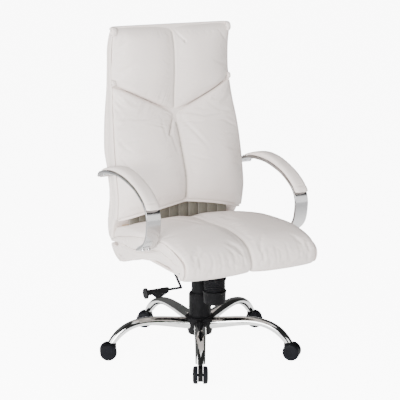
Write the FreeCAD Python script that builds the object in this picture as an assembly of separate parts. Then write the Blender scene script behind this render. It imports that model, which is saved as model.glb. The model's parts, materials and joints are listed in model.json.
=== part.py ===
import FreeCAD, Part
import math
import os

# High-back executive office chair. Millimetres. +Z up, the sitter faces -Y, +X is the sitter's left.
# Origin: on the floor, on the axis of the gas column. Gas lift at the height of the rest pose.

V = FreeCAD.Vector
UP = V(0, 0, 1)

# ---- driving dimensions ----
clearance = 0.3            # between pieces of different bodies
running = 0.05             # radial clearance of a shaft in its bore
wall_clearance = 0.5       # between a moving plastic piece and what it passes

# base and casters
leg_count = 5
first_leg_heading = -27.4  # degrees about +Z from straight ahead
leg_wall = 2.5
leg_tip_radius = 321.5     # radius of the circle of the leg tips' middles
leg_root_width = 46.0
leg_tip_width = 34.0
stem_inset = 4.5           # stems stand this much inside the circle of the leg tips
wheel_radius = 30.0
wheel_width = 17.0
caster_trail = 20.0        # stem axis to axle, level
fork_width = 17.0          # body between the two wheels
caster_stem_radius = 5.5
stem_grip = 17.5           # length of stem inside the leg tip
socket_wall = 2.5          # sleeve in the leg tip that takes the stem
caster_axle_radius = 4.0
caster_rolls = [-27.6, 46.4, 66.0, -124.0, -111.6]  # heading in which each caster trails, leg by leg
hub_wall = 9.0
hub_height = 56.0
hub_cover_wall = 2.5
hub_cover_reach = 18.0     # widest part of the plastic cover, out from the hub

# gas column
column_radius = 25.0
column_wall = 1.8
column_height = 200.0
column_taper = 0.72        # degrees per side, where it seats in the hub
cylinder_radius = 14.0
cylinder_wall = 2.5
cylinder_length = 236.0
cylinder_lift = 40.0       # foot of the cylinder above the foot of the column, rest pose
rod_radius = 5.0
piston_height = 163.0      # above the foot of the column
valve_radius = 4.0
valve_length = 13.0
valve_reach = 6.0          # button above the top of the cylinder
cover_wall = 1.6
cover_step = 1.8           # air between one telescopic cover and the next
cover_play = 3.9           # air between the column and the innermost cover
lower_cover_height = 89.0
cover_chamfer = 4.0        # shoulder of the outermost cover, inward
cover_shoulder = 7.0       # its height

# tilt mechanism
tilt_y = -30.0
shaft_radius = 6.0
bush_wall = 3.0
housing_half_width = 46.0
housing_wall = 3.0
housing_front = -70.0
housing_rear = 45.0
socket_depth = 47.0        # cylinder top above the floor of the housing
pivot_rise = 54.0          # tilt shaft above the floor of the housing
seat_rise = 38.0           # underside of the seat above the tilt shaft
plate_thickness = 3.0
plate_half_width = 100.0
plate_front = -160.0
plate_rear = 90.0
flange_thickness = 4.0
seat_bolt_radius = 4.0
seat_bolt_x = 80.0
seat_bolt_front = -140.0
seat_bolt_rear = 70.0
tension_y = -110.0
tension_bolt_radius = 6.0
tension_pin_radius = 4.0
spring_outer_radius = 37.0
spring_wire = 6.0
spring_turns = 5.0
spring_length = 41.0       # from the spring's seat to the housing
spring_seat_thickness = 3.0
knob_height = 42.0
knob_rim = 4.0             # knob wider than the spring, and its lip over the spring's seat
lever_radius = 4.5
elbow_swell = 0.1          # the rod is this much thicker where it is bent
lever_bend_x = -122.0
lever_grip_x = -100.0
lever_grip_y = -50.0
lever_end_x = -226.0
lever_drop = 90.8          # grip below the inner end
lever_pivot_x = -32.0
lever_pin_radius = 1.5
lock_y = -18.0
lock_width = 8.0
lock_height = 6.0
lock_gap = 3.2             # under the flange

# seat and back
underpad_thickness = 10.0
ply_thickness = 12.0
seat_half_width = 246.0
back_inset = 10.0          # the back is this much narrower on each side than the seat
ply_inset = 24.0           # edge of the ply inside the side of the back
shell_bend = 75.0          # radius of the moulded bend, on the ply's centre line
ply_back_y = 205.0         # centre line of the ply where it leaves the bend
seat_front_y = -374.0
ply_front_inset = 44.0     # front edge of the ply behind the front of the seat
lining_inset = 16.0        # edge of the lining panel inside the edge of the ply
lining_depth = 36.0        # face of the core behind the lining, ahead of the ply's centre line
lining_thickness = 9.0
lining_grooves = 9
groove_radius = 2.5

# arms
arm_standoff = 10.5        # inner face of the arm band, out from the side of the seat
arm_width = 51.0
arm_thickness = 9.0
arm_rounding = 1.8
arm_pad_inset = 2.0
arm_bolt_radius = 4.0
bolt_head_radius = 7.0
hex_key_radius = 2.6
bracket_thickness = 5.0
bracket_inset = 6.0        # riser of the seat's bracket, inside the edge of the ply
bracket_front = -168.0
bracket_rear = -132.0

# ---- heights and sizes that follow ----
caster_height = 2 * wheel_radius + 1.5      # floor to the underside of the caster sockets
leg_tip_z = caster_height + 3
stem_top = caster_height + stem_grip
caster_circle = leg_tip_radius - stem_inset
hub_radius = column_radius + hub_wall
hub_bottom = caster_height + 4.5
hub_top = hub_bottom + hub_height
hub_cover_radius = hub_radius + hub_cover_reach
column_bottom = hub_bottom - 4
column_top = column_bottom + column_height
cylinder_bottom = column_bottom + cylinder_lift
cylinder_top = cylinder_bottom + cylinder_length
upper_cover_radius = column_radius + cover_play + cover_wall
middle_cover_radius = upper_cover_radius + cover_step + cover_wall
lower_cover_radius = middle_cover_radius + wall_clearance + cover_chamfer + cover_wall
button_top = cylinder_top + valve_reach
lever_z = button_top + lever_radius + clearance
lever_grip_z = lever_z - lever_drop
housing_bottom = cylinder_top - socket_depth
tilt_z = housing_bottom + pivot_rise
flange_foot = tilt_z - 2 * shaft_radius
lock_bottom = flange_foot - lock_gap - lock_height
spring_seat_z = housing_bottom - spring_length
knob_radius = spring_outer_radius + knob_rim
underside_z = tilt_z + seat_rise            # leather under the seat, where the mechanism bolts on
back_half_width = seat_half_width - back_inset
ply_half_width = back_half_width - ply_inset
lining_half_width = ply_half_width - lining_inset
lining_rear_y = ply_back_y - lining_depth
ply_seat_z = underside_z + underpad_thickness + ply_thickness / 2
ply_top = ply_seat_z + ply_thickness / 2
ply_under = ply_seat_z - ply_thickness / 2
ply_front_y = seat_front_y + ply_front_inset
rim_y = ply_front_y - 4                     # where the cushion's front meets the core
bend_y = ply_back_y - shell_bend
bend_z = ply_seat_z + shell_bend
seat_rear_y = ply_back_y - 55
arm_gap = seat_half_width + arm_standoff
seat_bolt_spots = [(x, y) for x in (-seat_bolt_x, seat_bolt_x) for y in (seat_bolt_front, seat_bolt_rear)]


# ---- shape helpers ----
def yz(y, z, x=0.0):
    return V(x, y, z)


def on_back(*places):
    """Points given as (behind the ply's upright centre line, above the underside of the seat)."""
    return [V(0, ply_back_y + y, underside_z + z) for y, z in places]


def on_seat(*places):
    """Points given as (share of the way from the seat's front to its rear, above the seat's underside)."""
    return [V(0, seat_front_y + share * (seat_rear_y - seat_front_y), underside_z + z) for share, z in places]


def on_arm(*places):
    """Points given as (y, above the underside of the seat)."""
    return [V(0, y, underside_z + z) for y, z in places]


def spline_through(points):
    curve = Part.BSplineCurve()
    curve.interpolate(points)
    return curve


def offset_points(points, distance, samples=24):
    """Points beside a curve in the YZ plane, to the left of its direction of travel."""
    curve = spline_through(points)
    first, last = curve.FirstParameter, curve.LastParameter
    moved = []
    for i in range(samples + 1):
        t = first + (last - first) * i / samples
        tangent = curve.tangent(t)[0]
        normal = V(0, -tangent.z, tangent.y)
        moved.append(curve.value(t) + normal * distance)
    return moved


def outline(*stretches):
    """A closed wire through stretches of points: a stretch of two is a line, a longer one a curve."""
    edges = []
    for points in stretches:
        if len(points) == 2:
            edges.append(Part.makeLine(points[0], points[1]))
        else:
            edges.append(spline_through(points).toShape())
    closed = []
    for i, edge in enumerate(edges):
        closed.append(edge)
        end = stretches[i][-1]
        start = stretches[(i + 1) % len(stretches)][0]
        if (end - start).Length > 1e-6:
            closed.append(Part.makeLine(end, start))
    return Part.Wire(closed)


def slab(wire, low_x, high_x):
    """A YZ outline carried along X from low_x to high_x."""
    face = Part.Face(wire)
    face.translate(V(low_x, 0, 0))
    return face.extrude(V(high_x - low_x, 0, 0))


def side_plate(corners, low_x, high_x):
    """A flat plate with straight edges, its outline given in YZ."""
    return slab(Part.makePolygon(corners + [corners[0]]), low_x, high_x)


def box(x0, x1, y0, y1, z0, z1):
    return Part.makeBox(x1 - x0, y1 - y0, z1 - z0, V(x0, y0, z0))


def rod(radius, start, end):
    axis = end - start
    return Part.makeCylinder(radius, axis.Length, start, axis)


def upright(radius, z0, z1, x=0.0, y=0.0):
    return Part.makeCylinder(radius, z1 - z0, V(x, y, z0))


def ring(outer, inner, z0, z1, x=0.0, y=0.0):
    return upright(outer, z0, z1, x, y).cut(upright(inner, z0, z1, x, y))


def turned(profile, x=0.0, y=0.0):
    """A profile of (radius, height) points turned about the vertical through (x, y)."""
    points = [V(r, 0, z) for r, z in profile]
    face = Part.Face(Part.makePolygon(points + [points[0]]))
    solid = face.revolve(V(0, 0, 0), UP, 360)
    solid.translate(V(x, y, 0))
    return solid


def fused(*shapes):
    whole = shapes[0]
    for shape in shapes[1:]:
        whole = whole.fuse(shape)
    return whole.removeSplitter()


def largest(shape):
    return max(shape.Solids, key=lambda solid: solid.Volume)


def mirrored(shape):
    return shape.mirror(V(0, 0, 0), V(1, 0, 0))


def heading(shape, degrees, x=0.0, y=0.0):
    """Turns a piece drawn along +X so that it points along the heading, counted from straight ahead."""
    turned_shape = shape.copy()
    turned_shape.rotate(V(0, 0, 0), UP, degrees - 90)
    turned_shape.translate(V(x, y, 0))
    return turned_shape


def save(name, *solids):
    shape = solids[0] if len(solids) == 1 else Part.makeCompound(list(solids))
    for solid in solids:
        if not solid.isValid():
            print("not valid:", name)
    shape.exportStep("parts/" + name + ".step")


# ---- profiles ----
# one leg, drawn along +X: radius, height, depth, width and slope of the oval tube
leg_stations = [
    (hub_radius - 6, caster_height + 39.5, 40.0, leg_root_width, 10.0),
    (0.289 * leg_tip_radius, caster_height + 51.5, 38.0, leg_root_width - 2, 9.0),
    (0.463 * leg_tip_radius, caster_height + 60.5, 33.0, leg_root_width - 4, 6.0),
    (0.638 * leg_tip_radius, caster_height + 64.5, 28.5, leg_root_width - 6, -1.0),
    (leg_tip_radius - 71.5, caster_height + 57, 28.0, leg_tip_width + 4, -20.0),
    (leg_tip_radius - 30.5, caster_height + 35.5, 29.0, leg_tip_width + 2, -42.0),
    (leg_tip_radius, leg_tip_z, 31.0, leg_tip_width, -88.0),
]

# centre line of the ply's back, from the bend up
ply_back_line = on_back((0, 91), (-1, 144), (5, 208), (19, 267), (35, 322), (44, 392), (48, 497),
                        (47, 597), (40, 672), (19, 735))
# leather over the back of the shell
rear_line = on_back((35, 3), (42, 67), (31, 144), (37, 208), (52, 267), (68, 322), (77, 392), (81, 497),
                    (80, 597), (73, 677), (57, 727), (35, 758))
# seam between the sides' boxing and the front cushions
seam_line = on_back((-47, 87), (-48, 137), (-47, 182), (-37, 247), (-21, 322), (-15, 392), (-7, 467),
                    (0, 537), (4, 617), (-1, 677), (-13, 727), (-17, 747))
# the line on which the rear pad meets the core pad, level with the ply's middle
seam_rear_line = on_back((1, 3), (1, 91)) + ply_back_line[1:-1] + on_back((17, 737), (0, 753))
back_top = on_back((0, 753))[0]
head_front_line = on_back((-19, 432), (-33, 479), (-42, 537), (-45, 597), (-42, 657), (-33, 712), (-19, 745))
lumbar_front_line = on_back((-101, 87), (-121, 157), (-125, 217), (-107, 282), (-83, 347), (-63, 407),
                            (-43, 467), (-27, 527), (-15, 617))
roll_line = on_back((33, 2), (23, -28), (-9, -51), (-45, -59), (-73, -51), (-93, -27), (-109, -5))

# leather over the seat, from its rear over the front edge, and the welt around the cushion
seat_top_line = on_seat((1.0, 66), (0.855, 85), (0.679, 100), (0.525, 108), (0.393, 111), (0.256, 106),
                        (0.132, 90), (0.046, 64), (0.0, 32), (0.008, 5), (0.055, -6))
welt_line = on_seat((1.0, 27), (0.926, 31), (0.8, 47), (0.565, 67), (0.332, 79), (0.198, 74))
welt_line.append(V(0, rim_y, underside_z + 55))

# outer face of the arm's band, from its hooked rear end over the top and down to its foot
band_line = on_arm((186, 247), (178, 261), (155, 271), (108, 281), (59, 285), (-7, 285), (-75, 274),
                   (-120, 262), (-161, 243), (-190, 224), (-209, 201), (-217, 174), (-215, 143), (-207, 111),
                   (-189, 85), (-163, 66), (-132, 52))
arm_middle_z = underside_z + 137
pad_top_line = on_arm((152, 279), (124, 288), (82, 299), (25, 307), (-43, 301), (-105, 285), (-158, 264),
                      (-200, 239), (-222, 217), (-224, 209))
pad_rear_y = 152.0
pad_foot_z = underside_z + 207


# ---- five-leg base ----
def leg_tube(grow):
    """The leg's outside, larger all round by grow."""
    wires = []
    for radius, z, depth, width, slope in leg_stations:
        s = math.radians(slope)
        centre = V(radius, 0, z)
        side = centre + V(0, width / 2 + grow, 0)
        top = centre + V(-math.sin(s), 0, math.cos(s)) * (depth / 2 + grow)
        wires.append(Part.Wire(Part.Ellipse(side, top, centre).toShape()))
    return Part.makeLoft(wires, True, False)


def base():
    one_leg = leg_tube(0).cut(leg_tube(-leg_wall))
    one_leg = largest(one_leg.cut(upright(hub_radius, 0, 2 * hub_top)))
    headings = [first_leg_heading + 360 / leg_count * k for k in range(leg_count)]
    save("legs", *[heading(one_leg, angle) for angle in headings])

    taper_drop = hub_height * math.tan(math.radians(column_taper))
    taper = Part.makeCone(column_radius - taper_drop, column_radius, hub_height, V(0, 0, hub_bottom))
    save("base_hub", upright(hub_radius, hub_bottom, hub_top).cut(taper))

    # steel sleeves welded in the leg tips, which take the caster stems
    sleeve_radius = caster_stem_radius + socket_wall
    sleeve = ring(sleeve_radius, caster_stem_radius + running, caster_height, stem_top + 2, caster_circle)
    sleeve = largest(sleeve.cut(one_leg))
    save("caster_sockets", *[heading(sleeve, angle) for angle in headings])

    # plastic cover over the hub and the legs' roots
    wall = hub_cover_wall
    widest = hub_cover_radius
    skirt = hub_radius + 8
    inner = hub_radius + wall_clearance
    collar = column_radius + wall_clearance
    skirt_bottom = hub_bottom - 1
    ceiling = hub_top + 0.2
    roof = hub_top + 5
    lip = lower_cover_radius + wall_clearance
    outer = turned([(inner, skirt_bottom), (skirt, skirt_bottom), (widest - 2, hub_top - 20),
                    (widest, hub_top - 6), (widest - 0.5, hub_top + 4), (widest - 3, hub_top + 7),
                    (lip + 2, hub_top + 10), (lip, hub_top + 10), (lip, roof), (collar, roof),
                    (collar, ceiling), (inner, ceiling)])
    hollow = turned([(inner, skirt_bottom - 1), (skirt - wall, skirt_bottom - 1),
                     (widest - 2 - wall, hub_top - 20), (widest - wall, hub_top - 6),
                     (widest - wall - 0.5, hub_top + 3), (widest - wall - 2, ceiling + 3.5),
                     (lip + 3, ceiling + 3.5), (lip + 1, ceiling), (inner, ceiling)])
    cover = outer.cut(hollow)
    passage = leg_tube(wall_clearance - 0.1)
    for angle in headings:
        cover = cover.cut(heading(passage, angle))
    save("hub_cover", largest(cover))
    return headings


# ---- casters ----
def caster_pieces():
    """One twin-wheel caster, drawn with its stem on the origin and its wheels trailing along +X."""
    axle_z = wheel_radius
    half = fork_width / 2
    wheel_in = half + wall_clearance
    wheel_out = wheel_in + wheel_width
    neck_top = caster_height - 2
    stem_bottom = axle_z + caster_axle_radius + 2
    foot_z = 13.0

    def across(radius, reach):
        return rod(radius, V(caster_trail, -reach, axle_z), V(caster_trail, reach, axle_z))

    disc = across(wheel_radius - 3.5, half)
    neck = box(0, 14, -half, half, axle_z, neck_top)
    body = fused(disc, upright(half, axle_z, neck_top), neck)
    body = body.cut(box(-wheel_radius, 2 * wheel_radius, -half, half, 0, foot_z))
    body = body.cut(upright(caster_stem_radius, stem_bottom, stem_top))
    body = body.cut(across(caster_axle_radius, half + 1))

    stem = upright(caster_stem_radius, stem_bottom, stem_top)
    stem = stem.fuse(upright(caster_stem_radius + 2, neck_top, neck_top + 1.4))
    groove = ring(caster_stem_radius + 1, caster_stem_radius - 0.8, stem_top - 7, stem_top - 5)
    stem = stem.cut(groove).removeSplitter()
    axle_half = wheel_out - 3
    axle = across(caster_axle_radius, axle_half)

    # the wheel's section, as (radius, distance out from the caster's middle plane)
    bore = caster_axle_radius + running
    boss = caster_axle_radius + 5
    rim_in = wheel_radius - 5
    rim_out = wheel_out - 4
    section = [(bore, wheel_in + 2), (boss, wheel_in + 2), (boss, wheel_in + 7), (rim_in, wheel_in + 7),
               (rim_in, wheel_in), (wheel_radius - 1.5, wheel_in), (wheel_radius, wheel_in + 1.5),
               (wheel_radius, rim_out - 4), (wheel_radius - 1.2, rim_out),
               (wheel_radius - 4, wheel_out - 1.8), (wheel_radius - 9, wheel_out - 0.6),
               (wheel_radius - 16, wheel_out), (0, wheel_out), (0, axle_half + 0.6), (bore, axle_half + 0.6)]
    face = Part.Face(Part.makePolygon([V(r, d, 0) for r, d in section + [section[0]]]))
    wheel = face.revolve(V(0, 0, 0), V(0, 1, 0), 360)
    wheel.translate(V(caster_trail, 0, axle_z))
    other = wheel.mirror(V(0, 0, 0), V(0, 1, 0))
    return body, [stem, axle], wheel, other


def casters(headings):
    body, pins, wheel_left, wheel_right = caster_pieces()
    for k, angle in enumerate(headings):
        a = math.radians(angle)
        x = caster_circle * math.sin(a)
        y = -caster_circle * math.cos(a)
        roll = caster_rolls[k]
        name = "caster_%d_" % (k + 1)
        save(name + "housing", heading(body, roll, x, y))
        save(name + "pins", *[heading(pin, roll, x, y) for pin in pins])
        save(name + "wheel_left", heading(wheel_left, roll, x, y))
        save(name + "wheel_right", heading(wheel_right, roll, x, y))


# ---- gas column ----
def column():
    foot_radius = column_radius - hub_height * math.tan(math.radians(column_taper))
    tube = Part.makeCone(foot_radius, column_radius, hub_height, V(0, 0, hub_bottom))
    foot = upright(foot_radius, column_bottom, hub_bottom)
    tube = fused(tube, upright(column_radius, hub_top, column_top), foot)
    floor_z = column_bottom + 3
    bore = foot_radius - column_wall
    tube = tube.cut(upright(bore, floor_z, column_top + 1))
    tube = tube.cut(upright(rod_radius + running, column_bottom - 1, floor_z + 1))
    save("column_tube", tube)
    save("column_bush", ring(bore, cylinder_radius + running, column_top - 80, column_top))

    # thrust bearing on the column's floor, and the clip below it
    race = 2.0
    race_radius = rod_radius + 6
    rod_bore = rod_radius + running
    bearing_top = floor_z + 3 * race
    neck_radius = rod_radius - 0.9
    clip_z = column_bottom - 2
    bearing = [ring(race_radius, rod_bore, floor_z, floor_z + race),
               ring(race_radius - 1.5, rod_radius + 1.5, floor_z + race, floor_z + 2 * race),
               ring(race_radius, rod_bore, floor_z + 2 * race, bearing_top)]
    clip = ring(rod_radius + 4, neck_radius + running, clip_z, clip_z + 1.4)
    save("column_bearing", *bearing, clip)

    # the rod turns on the bearing and carries the piston; a groove below the column takes the clip
    piston_z = column_bottom + piston_height
    rod_piece = upright(rod_radius, column_bottom - 5, piston_z)
    rod_piece = rod_piece.cut(ring(rod_radius + 1, neck_radius, clip_z - 0.1, clip_z + 1.5))
    shoulder = upright(rod_radius + 4, bearing_top + 0.1, bearing_top + 0.1 + race)
    bore_radius = cylinder_radius - cylinder_wall
    piston = upright(bore_radius - running, piston_z, piston_z + 12)
    save("piston_rod", fused(rod_piece, shoulder, piston))

    end_depth = 14.0
    cylinder = upright(cylinder_radius, cylinder_bottom, cylinder_top)
    cylinder = cylinder.cut(upright(bore_radius, cylinder_bottom + end_depth, cylinder_top - end_depth))
    cylinder = cylinder.cut(upright(rod_bore, cylinder_bottom - 1, cylinder_bottom + end_depth + 1))
    cylinder = cylinder.cut(upright(valve_radius + running, cylinder_top - 12, cylinder_top + 1))
    save("gas_cylinder", cylinder)
    save("valve_button", upright(valve_radius, button_top - valve_length, button_top))

    # telescopic dust covers
    low_z = hub_top + 5
    top_z = low_z + lower_cover_height
    shoulder_z = top_z - cover_shoulder
    outer = lower_cover_radius
    inner = lower_cover_radius - cover_wall
    lower = turned([(outer, low_z), (outer, shoulder_z), (outer - cover_chamfer, top_z),
                    (inner - cover_chamfer, top_z), (inner, shoulder_z), (inner, low_z)])
    save("lower_cover", lower)
    save("middle_cover", ring(middle_cover_radius, middle_cover_radius - cover_wall, low_z + 15, top_z + 1))
    save("upper_cover", ring(upper_cover_radius, upper_cover_radius - cover_wall, low_z + 33, housing_bottom))


# ---- tilt mechanism ----
flange_in = housing_half_width + 1.2
flange_out = flange_in + flange_thickness
tongue_half = spring_outer_radius + 3


def tilt_housing():
    w = housing_half_width
    t = housing_wall
    low = housing_bottom
    floor_plate = box(-w, w, housing_front, housing_rear, low, low + t)
    corners = [yz(housing_front, low), yz(housing_rear, low), yz(housing_rear, low + 27),
               yz(housing_rear - 23, low + 67), yz(housing_front + 20, low + 67), yz(housing_front, low + 39)]
    wall = side_plate(corners, w - t, w)
    socket = ring(cylinder_radius + 8, cylinder_radius, low, cylinder_top - 8)
    tongue = box(-tongue_half, tongue_half, tension_y, housing_front + 1, low, low + t)
    nose = upright(tongue_half, low, low + t, 0, tension_y)
    nose = nose.common(box(-tongue_half, tongue_half, tension_y - 38, tension_y + 1, low, low + t))
    rib = box(-tongue_half, t - tongue_half, tension_y - 10, housing_front + 1, low, low + 14)
    housing = fused(floor_plate, wall, mirrored(wall), socket, tongue, nose, rib, mirrored(rib))

    # slot for the tension bolt, which moves as the seat tilts
    slot_radius = tension_bolt_radius + 2.5
    slot = upright(slot_radius, low - 1, low + 30, 0, tension_y)
    housing = housing.cut(slot.fuse(upright(slot_radius, low - 1, low + 30, 0, tension_y + 4)))
    housing = housing.cut(rod(shaft_radius, V(-w - 1, tilt_y, tilt_z), V(w + 1, tilt_y, tilt_z)))
    lever_hole = lever_radius + 3.5
    housing = housing.cut(rod(lever_hole, V(-w - 1, 0, lever_z), V(-w + t + 1, 0, lever_z)))
    play = wall_clearance
    half = lock_width / 2 + play
    lock_hole = box(-w - 1, -w + t + 1, lock_y - half, lock_y + half,
                    lock_bottom - play, lock_bottom + lock_height + 2 * play)
    housing = housing.cut(lock_hole)
    housing = housing.cut(upright(cylinder_radius, low - 1, low + t + 1))
    save("mechanism_housing", housing)


def crosswise(radius, x0, x1, y):
    """A bar or a hole along X at the height of the tilt shaft."""
    return rod(radius, V(x0, y, tilt_z), V(x1, y, tilt_z))


def tilt_pivot():
    """The seat turns on the shaft through two bushes pressed in its flanges."""
    shaft_half = flange_out + 4
    save("tilt_shaft", crosswise(shaft_radius, -shaft_half, shaft_half, tilt_y))
    bush = crosswise(shaft_radius + bush_wall, flange_in, flange_out, tilt_y)
    bush = bush.cut(crosswise(shaft_radius + running, flange_in - 1, flange_out + 1, tilt_y))
    save("tilt_bushes", bush, mirrored(bush))


def seat_plate():
    """Steel plate bolted under the seat, with the pivot's flanges and the tension bolt's lugs."""
    low = underside_z - plate_thickness
    plate = box(-plate_half_width, plate_half_width, plate_front, plate_rear, low, underside_z)
    shoulder_z = tilt_z + 7
    corners = [yz(tilt_y - 22, low), yz(tilt_y - 22, shoulder_z), yz(tilt_y - 12, flange_foot),
               yz(tilt_y + 12, flange_foot), yz(tilt_y + 18, shoulder_z), yz(tilt_y + 20, low)]
    flange = side_plate(corners, flange_in, flange_out)
    flange = flange.cut(crosswise(shaft_radius + bush_wall, flange_in - 1, flange_out + 1, tilt_y))
    lug_in = tension_bolt_radius + 4
    lug_out = lug_in + flange_thickness
    lug = box(lug_in, lug_out, tension_y - 10, tension_y + 10, tilt_z - 2, low)
    lug = lug.fuse(crosswise(10, lug_in, lug_out, tension_y))
    lug = lug.cut(crosswise(tension_pin_radius + running, lug_in - 1, lug_out + 1, tension_y))
    plate = fused(plate, flange, mirrored(flange), lug, mirrored(lug))
    for x, y in seat_bolt_spots:
        plate = plate.cut(upright(seat_bolt_radius, low - 1, underside_z + 1, x, y))
    save("seat_plate", plate)

    bolts = []
    for x, y in seat_bolt_spots:
        head = upright(seat_bolt_radius + 3.5, low - 4, low, x, y)
        bolt = fused(upright(seat_bolt_radius, low, ply_top, x, y), head)
        bolts.append(bolt.cut(upright(hex_key_radius, low - 4, low - 1.5, x, y)))
    save("seat_bolts", *bolts)


def tension_pieces():
    """Bolt that hangs from a cross pin, upright at every tilt, with its spring, seat and hand knob."""
    head_bottom = tilt_z - 14
    washer_z = spring_seat_z - spring_seat_thickness
    knob_bottom = washer_z - knob_height
    half = tension_bolt_radius + 2
    cross_half = tension_bolt_radius + 10
    cross = crosswise(tension_pin_radius, -cross_half, cross_half, tension_y)
    head = box(-half, half, tension_y - 9, tension_y + 9, head_bottom, tilt_z + 9)
    shank = upright(tension_bolt_radius, knob_bottom - 6, head_bottom, 0, tension_y)
    save("tension_bolt", fused(cross, head, shank))
    bore = tension_bolt_radius + running
    save("spring_seat", ring(spring_outer_radius - 0.5, bore, washer_z, spring_seat_z, 0, tension_y))

    # coil spring between the housing's tongue and its seat
    coil_low = spring_seat_z + spring_wire / 2 + clearance
    coil_high = housing_bottom - spring_wire / 2 - clearance
    mean = spring_outer_radius - spring_wire / 2
    pitch = (coil_high - coil_low) / spring_turns
    helix = Part.makeHelix(pitch, coil_high - coil_low, mean)
    section = Part.Wire(Part.makeCircle(spring_wire / 2, V(mean, 0, 0), V(0, 1, 0)))
    spring = Part.Wire(helix).makePipeShell([section], True, True)
    spring.translate(V(0, tension_y, coil_low))
    save("tension_spring", spring)

    # ribbed cup threaded on the bolt
    top = washer_z - clearance
    lip = spring_outer_radius + wall_clearance
    boss = tension_bolt_radius + 7
    cup = knob_radius - 8
    knob = turned([(bore, top - 9), (lip, top - 9), (lip, top + knob_rim), (knob_radius, top + knob_rim),
                   (knob_radius, top), (knob_radius - 1.5, top - 3), (knob_radius - 3, knob_bottom + 3),
                   (knob_radius - 6, knob_bottom), (cup, knob_bottom), (cup, top - 12), (boss, top - 12),
                   (boss, knob_bottom + 8), (bore, knob_bottom + 8)], 0, tension_y)
    save("tension_knob", knob)


def lever_pieces():
    """A bent rod whose inner end lies over the valve button, its grip and the lock bar it draws out."""
    path = [V(2, 0, lever_z), V(lever_bend_x, 0, lever_z), V(lever_grip_x, lever_grip_y, lever_grip_z),
            V(lever_end_x, lever_grip_y, lever_grip_z)]
    lever = rod(lever_radius, path[0], path[1])
    for a, b in zip(path[1:], path[2:]):
        lever = lever.fuse(rod(lever_radius, a, b))
    for corner in path[1:-1]:
        lever = lever.fuse(Part.makeSphere(lever_radius + elbow_swell, corner))
    pin_half = 2 * lever_radius
    pin_hole = lever_pin_radius + running
    lever = lever.cut(rod(pin_hole, V(lever_pivot_x, -pin_half, lever_z), V(lever_pivot_x, pin_half, lever_z)))
    save("lever_rod", lever)

    root = lever_grip_x - 50
    tip = lever_end_x - 6
    blade = [(root, 9), (tip, 8), (tip, -9), (tip + 18, -9), (tip + 36, -24), (tip + 48, -24), (root, -8)]
    corners = [V(x, lever_grip_y - 5.5, lever_grip_z + z) for x, z in blade]
    grip = Part.Face(Part.makePolygon(corners + [corners[0]])).extrude(V(0, 11, 0))
    disc = Part.makeCylinder(19, 7, V(tip - 7, lever_grip_y, lever_grip_z - 2), V(1, 0, 0))
    hole = rod(lever_radius, V(root + 10, lever_grip_y, lever_grip_z), path[3])
    save("lever_handle", fused(grip, disc).cut(hole))

    # the lock bar slides out with the lever, under the seat plate's flange, and holds the seat upright
    half = lock_width / 2
    bar = box(-housing_half_width + 2, lever_pivot_x + 12, lock_y - half, lock_y + half,
              lock_bottom, lock_bottom + lock_height)
    web_in = lever_pivot_x - 2
    web_out = lever_pivot_x + 2
    corners = [yz(lock_y - half, lock_bottom), yz(lock_y + half, lock_bottom),
               yz(6, lever_z - 4), yz(-6, lever_z + 5)]
    collar = rod(lever_radius + 3, V(web_in, 0, lever_z), V(web_out, 0, lever_z))
    bar = fused(bar, side_plate(corners, web_in, web_out), collar)
    bar = bar.cut(rod(lever_radius + 2 * clearance, V(web_in - 1, 0, lever_z), V(web_out + 1, 0, lever_z)))
    pin_reach = lever_radius + 2
    pin = rod(lever_pin_radius, V(lever_pivot_x, -pin_reach, lever_z), V(lever_pivot_x, pin_reach, lever_z))
    save("lock_bar", fused(bar, pin))


# ---- seat and back ----
def ply_blade(half, thick):
    """The ply's back, as a ribbon about its centre line."""
    front = offset_points(ply_back_line, thick / 2)
    back = offset_points(ply_back_line, -thick / 2)
    return slab(outline(front, list(reversed(back))), -half, half)


def ply_solid():
    w = ply_half_width
    t = ply_thickness
    seat = box(-w, w, ply_front_y, bend_y, ply_under, ply_top)
    centre = V(-w, bend_y, bend_z)
    outer = Part.makeCylinder(shell_bend + t / 2, 2 * w, centre, V(1, 0, 0))
    inner = Part.makeCylinder(shell_bend - t / 2, 2 * w, centre, V(1, 0, 0))
    quarter = box(-w, w, bend_y, bend_y + 3 * shell_bend, bend_z - 3 * shell_bend, bend_z)
    bend = outer.cut(inner).common(quarter)
    ply = seat.fuse(bend).fuse(ply_blade(w, t)).removeSplitter()
    for x, y in seat_bolt_spots:
        ply = ply.cut(upright(seat_bolt_radius, ply_under - 1, ply_top + 1, x, y))
    return ply


def rounded_width(solid, points):
    """Trims a solid to a front-view outline of (half width, height above the seat's underside) points."""
    near = seat_front_y
    far = ply_back_y + 200
    right = [V(x, near, underside_z + z) for x, z in points]
    left = [V(-x, near, underside_z + z) for x, z in reversed(points)]
    wire = Part.makePolygon(right + left + [right[0]])
    return solid.common(Part.Face(wire).extrude(V(0, far - near, 0)))


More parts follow.
